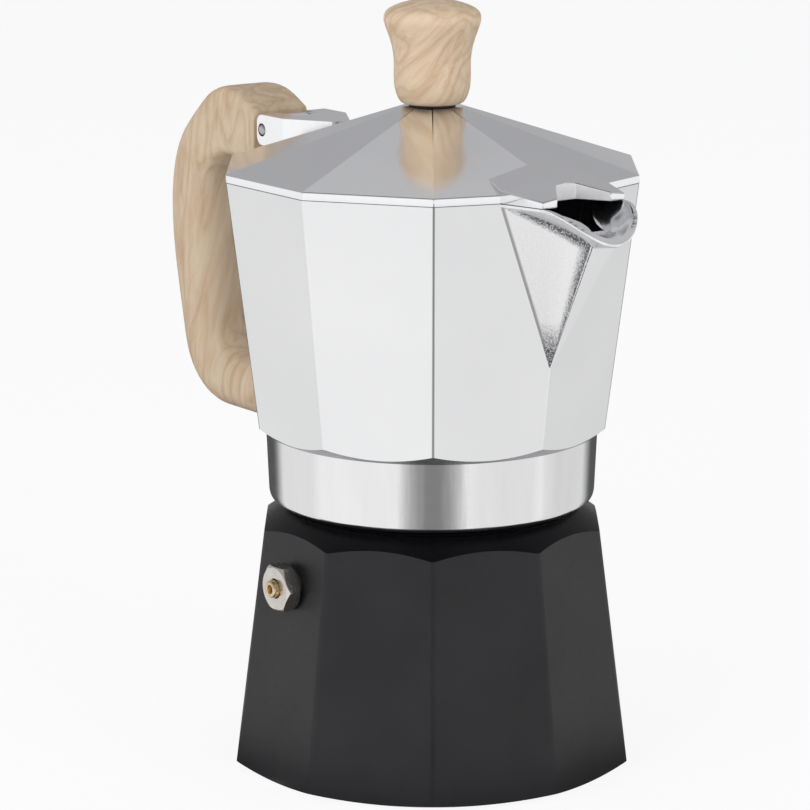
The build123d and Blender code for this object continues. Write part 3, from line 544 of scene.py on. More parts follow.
# Gasket: a moulded white silicone ring between the funnel's flange and the collector, which also
# holds the filter plate in its place.
silicone = two_toned(
    "white_silicone", 0.0, [(0.3, (0.70, 0.69, 0.65)), (0.75, (0.80, 0.79, 0.75))],
    sheen=(0.5, 0.66), depth=0.015, grain=(0.9, 4, 0.6),
)

gasket_ring = turned(
    "gasket_ring",
    [(26.4, 68.8), (31.8, 68.8), (32.1, 69.0), (32.2, 69.3), (32.2, 71.5), (32.1, 71.8), (31.8, 72.0),
     (26.4, 72.0), (26.1, 71.8), (26.0, 71.5), (26.0, 69.3), (26.1, 69.0)],
    ring=True,
)
dressed(gasket_ring, [silicone], "seal", "silicone", "gasket")

# Filter plate: a punched aluminium disc above the gasket that keeps the grounds out of the
# collector, with finer holes than the sieve.
filter_low, filter_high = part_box("filter_plate")
filter_disc = punched(
    "filter_disc", radius=filter_high.x / mm, pitch=2.6, hole=0.42, low=filter_low.z / mm,
    thickness=(filter_high.z - filter_low.z) / mm,
)
dressed(filter_disc, [sheet_metal], "seal", "plain_aluminium", "filter_plate")

# Collector cup: the upper chamber, a ten-sided aluminium casting polished to a mirror outside.
# Its lower edge is turned to a cone, which scallops the flats above the skirt.
polish, shader, place = new_finish("polished_aluminium", 1.0)
waves = speckle(place, 0.055, 2)
marks = speckle(stretched(place, (1.0, 1.0, 0.12)), 2.4, 3, 0.6)
clouds = speckle(place, 0.03, 3)
worked_up(
    shader, tinted(clouds, (0.3, (0.865, 0.868, 0.878)), (0.7, (0.905, 0.907, 0.915))),
    spread(marks, 0.10, 0.17), (waves, 0.035), (marks, 0.0006),
)

# Painted shade: a dark copy of the turned metal, for the collar cone under the cup's overhanging flats and
# for the bevels along the spout's front edges.
painted_shade_metal = two_toned(
    "painted_shade_turned_metal", 1.0, [(0.3, (0.30, 0.30, 0.31)), (0.7, (0.46, 0.46, 0.47))],
    sheen=(0.2, 0.32), depth=0.004, grain=(1.0, 2), stretch=(0.3, 0.3, 6),
)

cup_low, cup_top = (39.208, 74.7), (46.4, 131.3)
hollow_low, hollow_top = (37.422, 80.5), (43.877, 131.3)


def cup_hollow():
    """The space inside the cup, with a rounded foot as the casting core leaves it."""
    core = faceted("cup_core", hollow_low, (hollow_top[0] + 0.254, hollow_top[1] + 2), 0.9)
    pick(core, "EDGE", lambda points: max(point.z for point in points) < hollow_low[1] + 0.01)
    bpy.ops.mesh.bevel(offset=2.2 * mm, segments=4, affect="EDGES")
    bpy.ops.object.mode_set(mode="OBJECT")
    return core


collector_cup = faceted("collector_cup", cup_low, cup_top, 0.42)
carve(
    collector_cup,
    turned("collar_lathe_cut", [(36.4, 74.7), (52.4, 86.95), (52.4, 131.3)], 160),
    "INTERSECT",
)
carve(collector_cup, cup_hollow())
carve(
    collector_cup,
    turned("chamber_cut", [(34.5, 74.0), (34.5, 75.2), (5.1, 78.6), (5.1, 84.0)], 96),
)

# Spout: cast with the cup on its front corner. Its hollow cheeks are shot-blasted between polished
# edges, and the lip above them is level under the lid and then dips to a round nose.
apex_x, apex_z, rim_z = 41.093, 93.7, 131.3
root_x, root_y, back_x = 41.968, 13.637, 39.568
front_x, front_half_width = 64.0, 3.7
beak_x, beak_half_width, lip_front_x = 52.7, 10.8, 63.79
lip_start_x, lip_run, lip_fall, bowl_run = 52.5, 11.5, 7.0, 10.7
channel_inset, channel_rise = 3.4, 9


def block(name, outline, start, end, along="Z"):
    """A solid with a drawn outline in mm, from one place to another along an axis."""

    def at(point, depth):
        u, v = point
        return {"Z": (u, v, depth), "Y": (u, depth, v), "X": (depth, u, v)}[along]

    fresh()
    bpy.ops.mesh.primitive_circle_add(vertices=len(outline), radius=mm, fill_type="NGON")
    piece = named(name)
    for vertex, point in zip(piece.data.vertices, outline):
        vertex.co = Vector(at(point, start)) * mm
    edit_all(piece)
    length = Vector(at((0, 0), end - start)) * mm
    bpy.ops.mesh.extrude_region_move(TRANSFORM_OT_translate={"value": length})
    return closed_up(piece)


def both_sides(half):
    """A closed outline or ring from the points of its one side."""
    return half + [(x, -y, *rest) for x, y, *rest in reversed(half)]


def cheek_point(share, inset=0.0):
    """A point of the spout's outline at the rim, some share of the way from its root to its front."""
    depth = front_half_width - inset / 2 + (root_y - front_half_width - inset / 2) * (1 - share) ** 1.5
    return root_x + (front_x - inset - root_x) * share, depth - sin(pi * share**2.2)


def spout_wedge(name, inset, foot_z):
    """The spout's solid form: its outline at the rim drawn down to a point near the apex."""
    half = [(back_x, root_y - inset)] + [cheek_point(step / 24, inset) for step in range(25)]
    share = 0.04
    low = foot_z + share * (rim_z - foot_z)
    wedge = block(name, both_sides(half), rim_z, low)
    pick(wedge, "VERT", lambda points: points[0].z < low + 0.01)
    bpy.ops.transform.resize(value=(share, share, 1), center_override=(apex_x * mm, 0, low * mm))
    return wedge


def spout_channel():
    return spout_wedge("spout_channel", channel_inset, apex_z + channel_rise)


def dip(x):
    """How far the lip has dropped below the rim at some distance from the axis."""
    return lip_fall * min(1.1, max(0.0, (x - lip_start_x) / lip_run)) ** 2.3


def lip_half(inset):
    """One half of the lip from above: a straight side under the lid's beak, then a round nose."""
    side_y, tip_x = beak_half_width - inset, lip_front_x - inset
    centre_x = (tip_x**2 - beak_x**2 - side_y**2) / 2 / (tip_x - beak_x)
    radius, start = tip_x - centre_x, atan2(side_y, beak_x - centre_x)
    line = [
        (root_x + (beak_x - root_x) * step / 6, root_y - inset + (side_y - root_y + inset) * step / 6)
        for step in range(6)
    ]
    for angle in [start * (1 - step / 20) for step in range(21)]:
        line.append((centre_x + radius * cos(angle), radius * sin(angle)))
    return line


def lofted(name, rings):
    """Skins a solid over closed rings of points in mm, each with as many points as the others."""
    around = len(rings[0])
    fresh()
    bpy.ops.mesh.primitive_grid_add(x_subdivisions=around, y_subdivisions=len(rings) - 1, size=mm)
    piece = named(name)
    for vertex in piece.data.vertices:
        ring, spot = divmod(vertex.index, around + 1)
        vertex.co = Vector(rings[ring][spot % around]) * mm
    return closed_up(piece)


def lip_ring(cove, edge):
    """The lip's outline, drawn in and down by a share towards the top of the cheeks."""
    line, half = lip_half(0), []
    last = len(line) - 1
    nose = 0.8 * last
    for step, (x, y) in enumerate(line):
        share = min(1.0, step / nose)
        inner = cheek_point(share)
        if share == 1:
            inner = (front_x, front_half_width * (last - step) / (last - nose))
        edge_z = rim_z - dip(x) - edge
        foot_z = min(rim_z - 0.4 - 7.7 * share, edge_z - 0.3)
        scale = (foot_z - apex_z) / (rim_z - apex_z)
        inner_x, inner_y = apex_x + (inner[0] - 0.5 - apex_x) * scale, max(0.0, inner[1] * scale - 0.4)
        z = edge_z + (foot_z - edge_z) * cove**0.8
        half.append((x + (inner_x - x) * cove, y + (inner_y - y) * cove, z))
    return both_sides([(back_x, *half[0][1:])] + half)


def bowl_ring(inset, depth):
    """A ring of the hollow in the lip, shallower towards its root and its nose."""
    half = []
    for x, y in lip_half(inset):
        fade = min(1.0, 0.15 + 0.85 * (x - root_x) / bowl_run, max(0.6, (front_x - x) / 8))
        half.append((x, max(0.0, y), rim_z - dip(x + inset / 2) - depth * fade))
    return both_sides([(back_x - 2, *half[0][1:])] + half)


def lip_bowl():
    """The hollow in the lip, which leaves a narrow land all round."""
    insets = ((0.85, -4.0), (0.85, 0.0), (1.1, 0.55), (2.0, 1.35), (3.5, 2.1), (5.5, 2.6))
    return lofted("lip_bowl", [bowl_ring(inset, depth) for inset, depth in insets])


def above_the_lip(drop):
    """Everything over the lip's top, which is level and then dips along an arc."""
    spots = [lip_start_x + lip_run * step / 24 for step in range(27)]
    line = [(x, rim_z - dip(x) - drop) for x in spots]
    far = [(80, line[-1][1] - 9), (80, rim_z + 9), (30, rim_z + 9), (30, rim_z - drop)]
    return block("above_the_lip", line + far, -30, 30, "Y")


def hollowed(piece, drop):
    """Takes the space over the lip, the cup's inside, the channel and the bowl out of a piece."""
    for tool in (above_the_lip(drop), cup_hollow(), spout_channel(), lip_bowl()):
        carve(piece, tool)


spout_cheeks = spout_wedge("spout_cheeks", 0, apex_z)
hollowed(spout_cheeks, 0.8)
softened(spout_cheeks, 0.3, 40, 2)

coves = ((0, -4.0), (0, 0.45), (0.05, 0.55), (0.2, 0.6), (0.45, 0.6), (0.72, 0.6), (1, 0.6))
spout_lip = lofted("spout_lip", [lip_ring(cove, edge) for cove, edge in coves])
hollowed(spout_lip, 0)
softened(spout_lip, 0.2, 52, 2)
carve(collector_cup, spout_channel())
carve(collector_cup, lip_bowl())


def sums(operation, first, second=0.0):
    """One sum on a socket of a finish and a second socket or a number."""
    made = add_node(first.id_data, "Math", {0: first, 1: second}, operation=operation)
    return made.outputs["Value"]


# The cheeks' colour is painted shade. They are darker towards the front edge, towards the apex, under the lip
# and along the crease with the cup's flat, mottled by the blasted grain. A thin line just inside the front
# edge is lighter.
blasted_and_painted_shade, shader, place = new_finish("shot_blasted_aluminium_and_painted_shade", 1.0)
grains = speckle(place, 2.6, 4, 0.65)
spot_x, spot_y, spot_z = add_node(place.id_data, "SeparateXYZ", {"Vector": place}).outputs
rise = sums("SUBTRACT", spot_z, apex_z)
reach = sums("DIVIDE", sums("SUBTRACT", spot_x, apex_x), rise)
painted_front_shade = spread(reach, 0.0, 1.0, 0.45, 0.575)
painted_apex_shade = spread(rise, 1.0, 0.0, 4.0, 12.5)
painted_lip_shadow = spread(sums("ADD", spot_z, sums("MULTIPLY", spot_x, 0.62)), 0.0, 1.0, 156.3, 158.4)
painted_edge_shade = sums("MAXIMUM", sums("MAXIMUM", painted_front_shade, painted_apex_shade), painted_lip_shadow)
grainy_painted_shade = sums("MULTIPLY", painted_edge_shade, spread(grains, 0.3, 1.5, 0.36, 0.64))
# The cup's flat beside the spout: its direction, its slope and its distance from the axis.
flat_x, flat_y, flat_slope, flat_reach = 0.951, 0.309, 0.12085, 28.26
from_axis = sums(
    "ADD", sums("MULTIPLY", spot_x, flat_x), sums("MULTIPLY", sums("ABSOLUTE", spot_y), flat_y)
)
off_the_cup = sums(
    "SUBTRACT", from_axis, sums("ADD", sums("MULTIPLY", spot_z, flat_slope), flat_reach)
)
painted_crease_shade = spread(off_the_cup, 1.0, 0.0, 0.3, 0.6)
front_line = spread(sums("ABSOLUTE", sums("SUBTRACT", reach, 0.585)), 1.0, 0.0, 0.006, 0.014)
painted_shade_pattern = sums("MAXIMUM", grainy_painted_shade, sums("MULTIPLY", painted_crease_shade, 0.62))
painted_shade_pattern = sums("SUBTRACT", painted_shade_pattern, front_line)
worked_up(
    shader,
    tinted(painted_shade_pattern, (0.05, (0.90, 0.90, 0.90)), (0.45, (0.52, 0.52, 0.53)), (1.0, (0.10, 0.10, 0.11))),
    spread(grains, 0.24, 0.38),
    (sums("MULTIPLY", grains, spread(painted_edge_shade, 0.12, 1.0, 0.0, 0.6)), 0.03),
)

satin = two_toned(
    "satin_casting", 0.6, [(0.3, (0.84, 0.84, 0.85)), (0.7, (0.90, 0.90, 0.91))],
    sheen=(0.42, 0.5), depth=0.004, grain=(0.5, 3),
)


def on_the_collar(middle, normal):
    return middle.z < 80 and normal.z < -0.5 and middle.xy.length > 35.5


def inside_the_cup(middle, normal):
    return middle.x * normal.x + middle.y * normal.y < -1 or (middle.z < 81 and normal.z > 0.5)


def on_a_cheek(middle, normal):
    return middle.x > 40 and abs(normal.y) > 0.45 and middle.z < 129.5 and normal.y * middle.y > 0


def on_the_front_edge(middle, normal):
    return middle.x > 44 and 0.1 < abs(normal.y) < 0.6 and normal.x > 0.5


# The cup is dressed here too, because the spout's channel and bowl had to be cut into it first.
dressed(collector_cup, [polish, bare_casting, painted_shade_metal], "collector", "polished_aluminium", "collector")
dressed(spout_cheeks, [polish, blasted_and_painted_shade, painted_shade_metal], "collector", "polished_aluminium", "collector")
dressed(spout_lip, [polish, satin], "collector", "polished_aluminium", "collector")
painted(collector_cup, 1, inside_the_cup)
# The collar cone takes the painted shade.
painted(collector_cup, 2, on_the_collar)
# The cheeks take the blasted finish with its painted shade.
painted(spout_cheeks, 1, on_a_cheek)
# The bevels along the spout's front edges take the painted shade.
painted(spout_cheeks, 2, on_the_front_edge)
painted(spout_lip, 1, lambda middle, normal: normal.z < -0.12)

# Collector skirt: the round band below the cup, turned and polished on the lathe, with the thread
# inside it that takes the boiler's neck and the seat for the filter plate.
collector_skirt = turned(
    "collector_skirt",
    [(33.0, 59.4), (34.0, 59.4), (34.6, 59.5), (35.1, 59.75), (35.5, 60.15), (35.75, 60.65), (35.9, 61.3),
     (35.96, 62.0), (36.5, 74.6), (36.6, 75.0), (5.0, 79.4), (5.0, 77.5), (26.0, 74.1), (26.0, 72.6),
     (32.55, 72.6), (32.55, 60.0)],
    200, True,
)
softened(collector_skirt, 0.15, 35, 2)
band, shader, place = new_finish("polished_band", 1.0)
ripple = speckle(stretched(place, (1, 1, 0.15)), 0.22, 3)
lines = speckle(stretched(place, (0.1, 0.1, 6)), 1.0, 2)
worked_up(
    shader, tinted(ripple, (0.3, (0.85, 0.85, 0.86)), (0.7, (0.90, 0.90, 0.91))),
    spread(lines, 0.10, 0.18), (ripple, 0.045), (lines, 0.0016),
)
dressed(collector_skirt, [band], "collector", "polished_aluminium", "collector")
thread = [(32.65, 60.6), (31.95, 61.25), (31.95, 61.75), (32.65, 62.4)]
skirt_thread = helix("skirt_thread", thread, 2.0, thread_pitch)
dressed(skirt_thread, [lathe_metal], "collector", "plain_aluminium", "collector")

# Hinge lug: cast with the cup at the back. It carries the lid's pin between the two knuckles of the
# strap, and its tail goes into the handle.
pin_x, pin_z = -53.4, 135.3
lug_radius, lug_half_width = 3.1, 3.5
lug_side = [(-45.2, 130.8), (-47.8, 130.8)]
for angle in [step * pi / 12 for step in range(-2, 10)]:
    lug_side.append((pin_x + lug_radius * cos(angle), pin_z + lug_radius * sin(angle)))
lug_side += [(pin_x - 1.5, 136.75), (-70.9, 136.75), (-70.9, 130.75), (-58.0, 130.75), (-45.2, 119.8)]
hinge_lug = block("hinge_lug", lug_side, -lug_half_width, lug_half_width, "Y")
carve(hinge_lug, cup_hollow())
softened(hinge_lug, 0.4, 30, 3)
dressed(hinge_lug, [polish], "collector", "polished_aluminium", "collector")

# Coffee column: a tapered tube pressed into the collector's floor. The coffee rises inside it and
# comes out of two openings under its closed top.
column_tube = turned(
    "column_tube",
    [(4.95, 77.5), (4.95, 80.5), (7.9, 80.5), (8.0, 80.7), (7.0, 82.6), (6.7, 83.0), (6.55, 83.6),
     (5.4, 114.9), (5.25, 115.6), (4.9, 116.1), (4.2, 116.4), (3.4, 116.5), (0.05, 116.5), (0.05, 114.9),
     (3.6, 114.9), (3.6, 77.5)],
    72, True,
)
opening = [(-2.0, 109.5), (-1.4, 108.9), (1.4, 108.9), (2.0, 109.5), (2.0, 114.3), (1.4, 114.9),
           (-1.4, 114.9), (-2.0, 114.3)]
carve(column_tube, block("column_openings", opening, -9, 9, "Y"))
softened(column_tube, 0.15, 35, 2)
dressed(column_tube, [sheet_metal], "collector", "plain_aluminium", "column")

# Lid: a ten-sided roof cast in aluminium and polished, hollow underneath, that rests on the
# collector's rim. The knob is screwed on from inside.
lid_low, lid_top = (46.4, 133.1), (6.8, 146.0)
rim_height, rim_width, hollow_rise, hollow_share = 1.75, 2.6, 11.4, 8.5 / 43.67
lid_roof = faceted("lid_roof", lid_low, lid_top, 0)
pick(lid_roof, "FACE", lambda points: max(point.z for point in points) < lid_low[1] + 0.1)
bpy.ops.mesh.extrude_region_move(TRANSFORM_OT_translate={"value": (0, 0, -rim_height * mm)})
bpy.ops.mesh.inset(thickness=rim_width * mm)
bpy.ops.mesh.extrude_region_move(TRANSFORM_OT_translate={"value": (0, 0, hollow_rise * mm)})
bpy.ops.transform.resize(value=(hollow_share, hollow_share, 1))
pick(
    lid_roof, "EDGE",
    lambda points: slanting(points) and max(point.xy.length for point in points) > lid_low[0] - 0.1,
)
bpy.ops.mesh.bevel(offset=0.22 * mm, segments=3, affect="EDGES")
carve(lid_roof, turned("knob_screw_hole", [(2.2, 140.0), (2.2, 150.0)], 32))
softened(lid_roof, 0.28, 32, 3)
dressed(lid_roof, [polish], "lid", "polished_aluminium", "lid")

# Hinge strap: cast with the lid, a thick tongue that tapers forward into the roof and ends behind
# in a knuckle on each side of the lug.
strap_half_width, slot_half_width, slot_x = 8.75, 3.75, -47.8
strap_half = [(-60.0, strap_half_width), (-45.0, strap_half_width), (-34.4, 2.4), (-33.8, 1.2)]


def rounded(corners, steps=8):
    """The points of an outline whose corners, each (u, v, radius), are rounded off."""
    points = []
    for index, (u, v, radius) in enumerate(corners):
        here = Vector((u, v))
        if not radius:
            points.append((u, v))
            continue
        before = (Vector(corners[index - 1][:2]) - here).normalized()
        after = (Vector(corners[(index + 1) % len(corners)][:2]) - here).normalized()
        half = acos(max(-1.0, min(1.0, before.dot(after)))) / 2
        run = radius / tan(half)
        centre = here + (before + after).normalized() * radius / sin(half)
        start, end = here + before * run, here + after * run
        first = atan2(start.y - centre.y, start.x - centre.x)
        sweep = (atan2(end.y - centre.y, end.x - centre.x) - first + pi) % (2 * pi) - pi
        for step in range(steps + 1):
            angle = first + sweep * step / steps
            points.append((centre.x + radius * cos(angle), centre.y + radius * sin(angle)))
    return points


strap_side = rounded([(-55.4, 138.8, 2.0), (-55.4, 131.8, 2.0), (-30.0, 131.8, 0), (-30.0, 138.8, 0)])
hinge_strap = block("hinge_strap", strap_side, -strap_half_width, strap_half_width, "Y")
carve(hinge_strap, block("strap_plan", both_sides(strap_half), 125, 145), "INTERSECT")
slot = both_sides([(-62, -slot_half_width), (slot_x, -slot_half_width)])
carve(hinge_strap, block("strap_slot", slot, 120, 145))
pin_hole = turned("strap_pin_hole", [(1.48, -12), (1.48, 12)], 40)
carve(hinge_strap, laid_down(pin_hole, pin_x, 0, pin_z))
softened(hinge_strap, 0.4, 30, 3)
dressed(hinge_strap, [polish], "lid", "polished_aluminium", "lid")

# Hinge pin: the steel rod that the lid swings on. It goes through both knuckles of the strap and the
# lug between them, and is peened over at its ends.
rod_half = [(1.25, 8.5), (1.15, 8.75), (0.95, 8.9), (0.6, 8.95)]
rod_line = [(radius, -height) for radius, height in reversed(rod_half)] + rod_half
hinge_rod = laid_down(turned("hinge_rod", rod_line, 40), pin_x, 0, pin_z)
dressed(hinge_rod, [spring_steel], "collector", "steel", "hinge_pin")

# Beak: the front of the lid reaches over the spout under a flat gable that grows out of the roof. A
# notch in its front edge leaves the coffee a way out while the lid is shut.
beak_half = [(25.0, 9.0), (41.9, 13.6), (beak_x, beak_half_width), (beak_x, 7.0), (46.5, 2.6)]
lid_beak = block("lid_beak", both_sides(beak_half), 131.35, 141.0)
gable_back, gable_middle, gable_front, gable_slope = 20.0, 46.5, 60.0, 0.16
gable = block(
    "beak_gable", [(-20, 132.6), (0, 135.2), (20, 132.6), (20, 128.0), (-20, 128.0)],
    gable_back, gable_front, "X",
)
for vertex in gable.data.vertices:
    vertex.co.z += gable_slope * (gable_middle * mm - vertex.co.x)
carve(lid_beak, gable, "INTERSECT")
carve(lid_beak, faceted("lid_core", (43.6, 131.0), (8.5, 142.6), 0))
softened(lid_beak, 0.28, 32, 3)


def in_the_notch(middle, normal):
    return middle.x > 46 and abs(middle.y) < 7.0 and abs(normal.z) < 0.5


dressed(lid_beak, [polish, satin], "lid", "polished_aluminium", "lid")
painted(lid_beak, 1, in_the_notch)

# Knob washer: a thin black ring punched from rubber sheet. It lies under the knob and keeps its foot
# off the hot lid.
knob_washer = turned(
    "knob_washer_ring",
    [(2.2, 146.0), (5.0, 146.0), (5.1, 146.1), (5.1, 146.5), (5.0, 146.6), (2.2, 146.6)],
    64, True,
)
dressed(knob_washer, [seal_rubber], "lid", "dark_seal", "knob_washer")

# Knob: moulded in heat-proof plastic with a printed wood grain, waisted to give a grip. A screw from
# inside the lid goes up into its brass insert.
growth_lines = 7.0


def wood_print(name, stretch, lean, painted_light_level):
    """A printed wood finish, its grain stretched along one axis and leant by two angles in degrees, made
    lighter or darker by a painted light level.
    """
    material, shader, place = new_finish(name, Specular_IOR_Level=0.3)
    grain = stretched(place, stretch, (radians(lean[0]), radians(lean[1]), 0))
    waves = speckle(grain, 0.15, 0.4)
    growth = sums("FRACT", sums("MULTIPLY", waves, growth_lines))
    fibres = speckle(grain, 0.75, 4, 0.62)
    light = tinted(
        growth,
        (0.0, (0.548, 0.400, 0.265)), (0.12, (0.61, 0.468, 0.325)), (0.45, (0.64, 0.504, 0.360)),
        (0.75, (0.61, 0.462, 0.320)), (0.94, (0.572, 0.418, 0.280)), (1.0, (0.548, 0.400, 0.265)),
    )
    streaks = tinted(
        fibres, (0.33, (0.93 * painted_light_level, 0.86 * painted_light_level, 0.81 * painted_light_level)),
        (0.57, (1.04 * painted_light_level, 1.05 * painted_light_level, 1.06 * painted_light_level)),
    )
    shaded = add_node(place.id_data, "VectorMath", {0: light, 1: streaks}, operation="MULTIPLY")
    worked_up(shader, shaded.outputs["Vector"], spread(fibres, 0.44, 0.56), (fibres, 0.004))
    return material


# Painted light: the knob's copy of the print is made lighter than the handle's.
knob_wood = wood_print("knob_wood_print", (1.0, 1.0, 0.07), (31, -37), 1.04)
knob_grip = turned(
    "knob_grip",
    [(3.5, 146.62), (5.9, 146.62), (6.4, 146.72), (6.9, 147.05), (7.4, 147.75), (7.8, 148.7), (8.1, 149.8),
     (8.3, 151.2), (8.35, 152.8), (8.32, 154.6), (8.35, 156.1), (8.5, 157.6), (8.8, 159.2), (9.3, 160.9),
     (9.85, 162.4), (10.3, 163.7), (10.5, 164.5), (10.55, 165.1), (10.45, 165.8), (10.1, 166.5), (9.4, 167.1),
     (8.3, 167.65), (7.0, 168.15), (5.4, 168.6), (3.5, 168.95), (1.7, 169.15), (0.05, 169.2), (0.05, 157.7),
     (3.5, 157.7)],
    96, True,
)
dressed(knob_grip, [knob_wood], "lid", "wood_look", "knob")

# Knob insert: a threaded bush turned from brass and moulded into the knob. The groove round its middle
# keeps it from being pulled out.
knob_bush = turned(
    "knob_bush",
    [(2.05, 147.6), (3.2, 147.6), (3.4, 147.8), (3.4, 150.9), (3.1, 151.2), (3.1, 153.8), (3.4, 154.1),
     (3.4, 157.4), (3.2, 157.6), (2.05, 157.6)],
    48, True,
)
dressed(knob_bush, [brass], "lid", "brass", "knob_insert")

# Knob screw: a steel screw with a slotted, domed head. It goes up through the lid from inside and holds
# the knob and its washer.
screw_low, screw_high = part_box("knob_screw")
head_z, tip_z = screw_low.z / mm, screw_high.z / mm
knob_bolt = turned(
    "knob_bolt",
    [(0.05, head_z), (2.2, head_z), (3.0, head_z + 0.3), (3.45, head_z + 0.9), (3.6, head_z + 1.6),
     (3.6, head_z + 2.2), (2.0, head_z + 2.2), (2.0, tip_z - 0.4), (1.6, tip_z), (0.05, tip_z)],
    48, True,
)
slot = [(-4, head_z - 1), (4, head_z - 1), (4, head_z + 1), (-4, head_z + 1)]
carve(knob_bolt, block("bolt_slot", slot, -0.5, 0.5, "Y"))
dressed(knob_bolt, [spring_steel], "lid", "steel", "knob_screw")

# Handle: moulded in the same plastic and print as the knob, a loop with a free foot. Its block
# takes the lug's tail and is held by a screw from below.
handle_half_width, screw_x = 7.75, -63.75
block_squareness, grip_squareness = 8.0, 2.4
arch_rings, grip_rings, foot_rings = 20, 30, 16
outer_line = rounded(
    [(-58.4, 139.2, 0), (-72.5, 146.4, 17), (-98.5, 126.0, 25), (-98.47, 104.4, 70),
     (-89.6, 66.3, 18), (-57.5, 66.3, 0)],
    14,
)
inner_line = rounded(
    [(-58.4, 127.15, 0), (-81.9, 127.15, 11), (-77.6, 79.8, 8), (-57.5, 79.8, 0)], 14
)


def spaced(points, count):
    """Evenly spaced points along a line of points."""
    marks = [0.0]
    for start, end in zip(points, points[1:]):
        marks.append(marks[-1] + hypot(end[0] - start[0], end[1] - start[1]))
    result = []
    for step in range(count):
        goal = marks[-1] * step / (count - 1)
        at = max(spot for spot, mark in enumerate(marks[:-1]) if mark <= goal + 1e-6)
        share = (goal - marks[at]) / (marks[at + 1] - marks[at])
        result.append(tuple(a + (b - a) * share for a, b in zip(points[at], points[at + 1])))
    return result


def split_line(points, *anchors):
    """Cuts a line of points at those nearest to some anchors."""
    cuts = [
        min(range(len(points)), key=lambda spot: hypot(points[spot][0] - x, points[spot][1] - z))
        for x, z in anchors
    ]
    bounds = [0] + cuts + [len(points) - 1]
    return [points[start:end + 1] for start, end in zip(bounds, bounds[1:])]


outer_points, inner_points = [], []
for outer, inner, count in zip(
    split_line(outer_line, (-92.5, 137.5), (-86.0, 71.0)),
    split_line(inner_line, (-79.0, 124.5), (-76.5, 82.0)),
    (arch_rings, grip_rings, foot_rings),
):
    outer_points += spaced(outer, count)[1 if outer_points else 0:]
    inner_points += spaced(inner, count)[1 if inner_points else 0:]


def handle_ring(outer, inner, squareness, shrink=0.0):
    """A section of the handle between its two edges, from round to nearly square."""
    out, back = Vector(outer), Vector(inner)
    middle, half = (out + back) / 2, (out - back) / 2
    half -= half.normalized() * shrink
    ring = []
    for angle in [2 * pi * step / 48 for step in range(48)]:
        c, s = cos(angle), sin(angle)
        reach = abs(c) ** (2 / squareness) * (1 if c > 0 else -1)
        side = abs(s) ** (2 / squareness) * (1 if s > 0 else -1)
        spot = middle + half * reach
        ring.append((spot.x, (handle_half_width - shrink) * side, spot.y))
    return ring


def set_back(point, back, up=0.0):
    """A point of the handle's edge, moved away from the pot and up."""
    return point[0] - back, point[1] + up


edges = list(zip(outer_points, inner_points))
(block_outer, block_inner), (foot_outer, foot_inner) = edges[0], edges[-1]
handle_rings = [
    handle_ring(set_back(block_outer, back, up), set_back(block_inner, back), block_squareness, shrink)
    for back, up, shrink in ((0.0, 0.0, 0.8), (0.25, 0.0, 0.25), (0.8, 0.4, 0.0))
]
# The last four edges make way for the rings of the rounded foot.
for step, (outer, inner) in enumerate(edges[1:-4], 1):
    blend = min(1.0, max(0.0, (step - 3) / 24))
    ease = blend * blend * (3 - 2 * blend)
    squareness = block_squareness + (grip_squareness - block_squareness) * ease
    handle_rings.append(handle_ring(outer, inner, squareness))
for back, shrink in ((4.6, 0.0), (3.0, 0.5), (1.6, 1.5), (0.6, 3.0), (0.1, 4.6)):
    handle_rings.append(
        handle_ring(set_back(foot_outer, back), set_back(foot_inner, back), grip_squareness, shrink)
    )
handle_loop = lofted("handle_loop", handle_rings)
pocket = turned("screw_pocket", [(3.75, 120.0), (3.75, 129.55)], 40)
pocket.data.transform(Matrix.Translation((screw_x * mm, 0, 0)))
carve(handle_loop, pocket)
# Painted shade: the handle's copy of the print is made darker than the knob's.
handle_wood = wood_print("handle_wood_print", (0.8, 0.8, 0.05), (14, -5), 0.9)
dressed(handle_loop, [handle_wood], "collector", "wood_look", "handle")

# Handle screw: a plain steel screw that goes up through the handle's block into the lug's tail. Its head
# lies sunk in a pocket.
handle_bolt = turned(
    "handle_bolt",
    [(0.05, 127.2), (3.4, 127.2), (3.6, 127.5), (3.6, 129.55), (2.0, 129.55), (2.0, 135.3), (1.7, 135.55),
     (0.05, 135.55)],
    48, True,
)
handle_bolt.data.transform(Matrix.Translation((screw_x * mm, 0, 0)))
dressed(handle_bolt, [spring_steel], "collector", "steel", "handle_screw")

# Studio: a pale floor, two soft lamps and a white background, with the camera at the photograph's
# angle. The metal mirrors the floor, a grey surround, and cards that lie round the pot and show in
# nothing else.
scene = bpy.context.scene
scene.view_settings.view_transform = "Standard"

fresh()
bpy.ops.mesh.primitive_plane_add(size=12)
floor = named("studio_floor")
floor_paint, shader, place = new_finish("white_floor")
tree = shader.id_data
shader.inputs["Base Color"].default_value = (0.86, 0.86, 0.86, 1)
shader.inputs["Roughness"].default_value = 0.9
path = add_node(tree, "LightPath")
seen = sums("MAXIMUM", path.outputs["Is Camera Ray"], path.outputs["Is Glossy Ray"])
seen = sums("MAXIMUM", seen, path.outputs["Is Transmission Ray"])
glow = add_node(tree, "Emission", {"Color": (1, 1, 1, 1), "Strength": 1.02})
share = sums("MULTIPLY", seen, 0.86)
mixed = add_node(tree, "MixShader", {0: share, 1: shader.outputs["BSDF"], 2: glow.outputs["Emission"]})
tree.links.new(mixed.outputs["Shader"], tree.nodes["Material Output"].inputs["Surface"])
floor.data.materials.append(floor_paint)

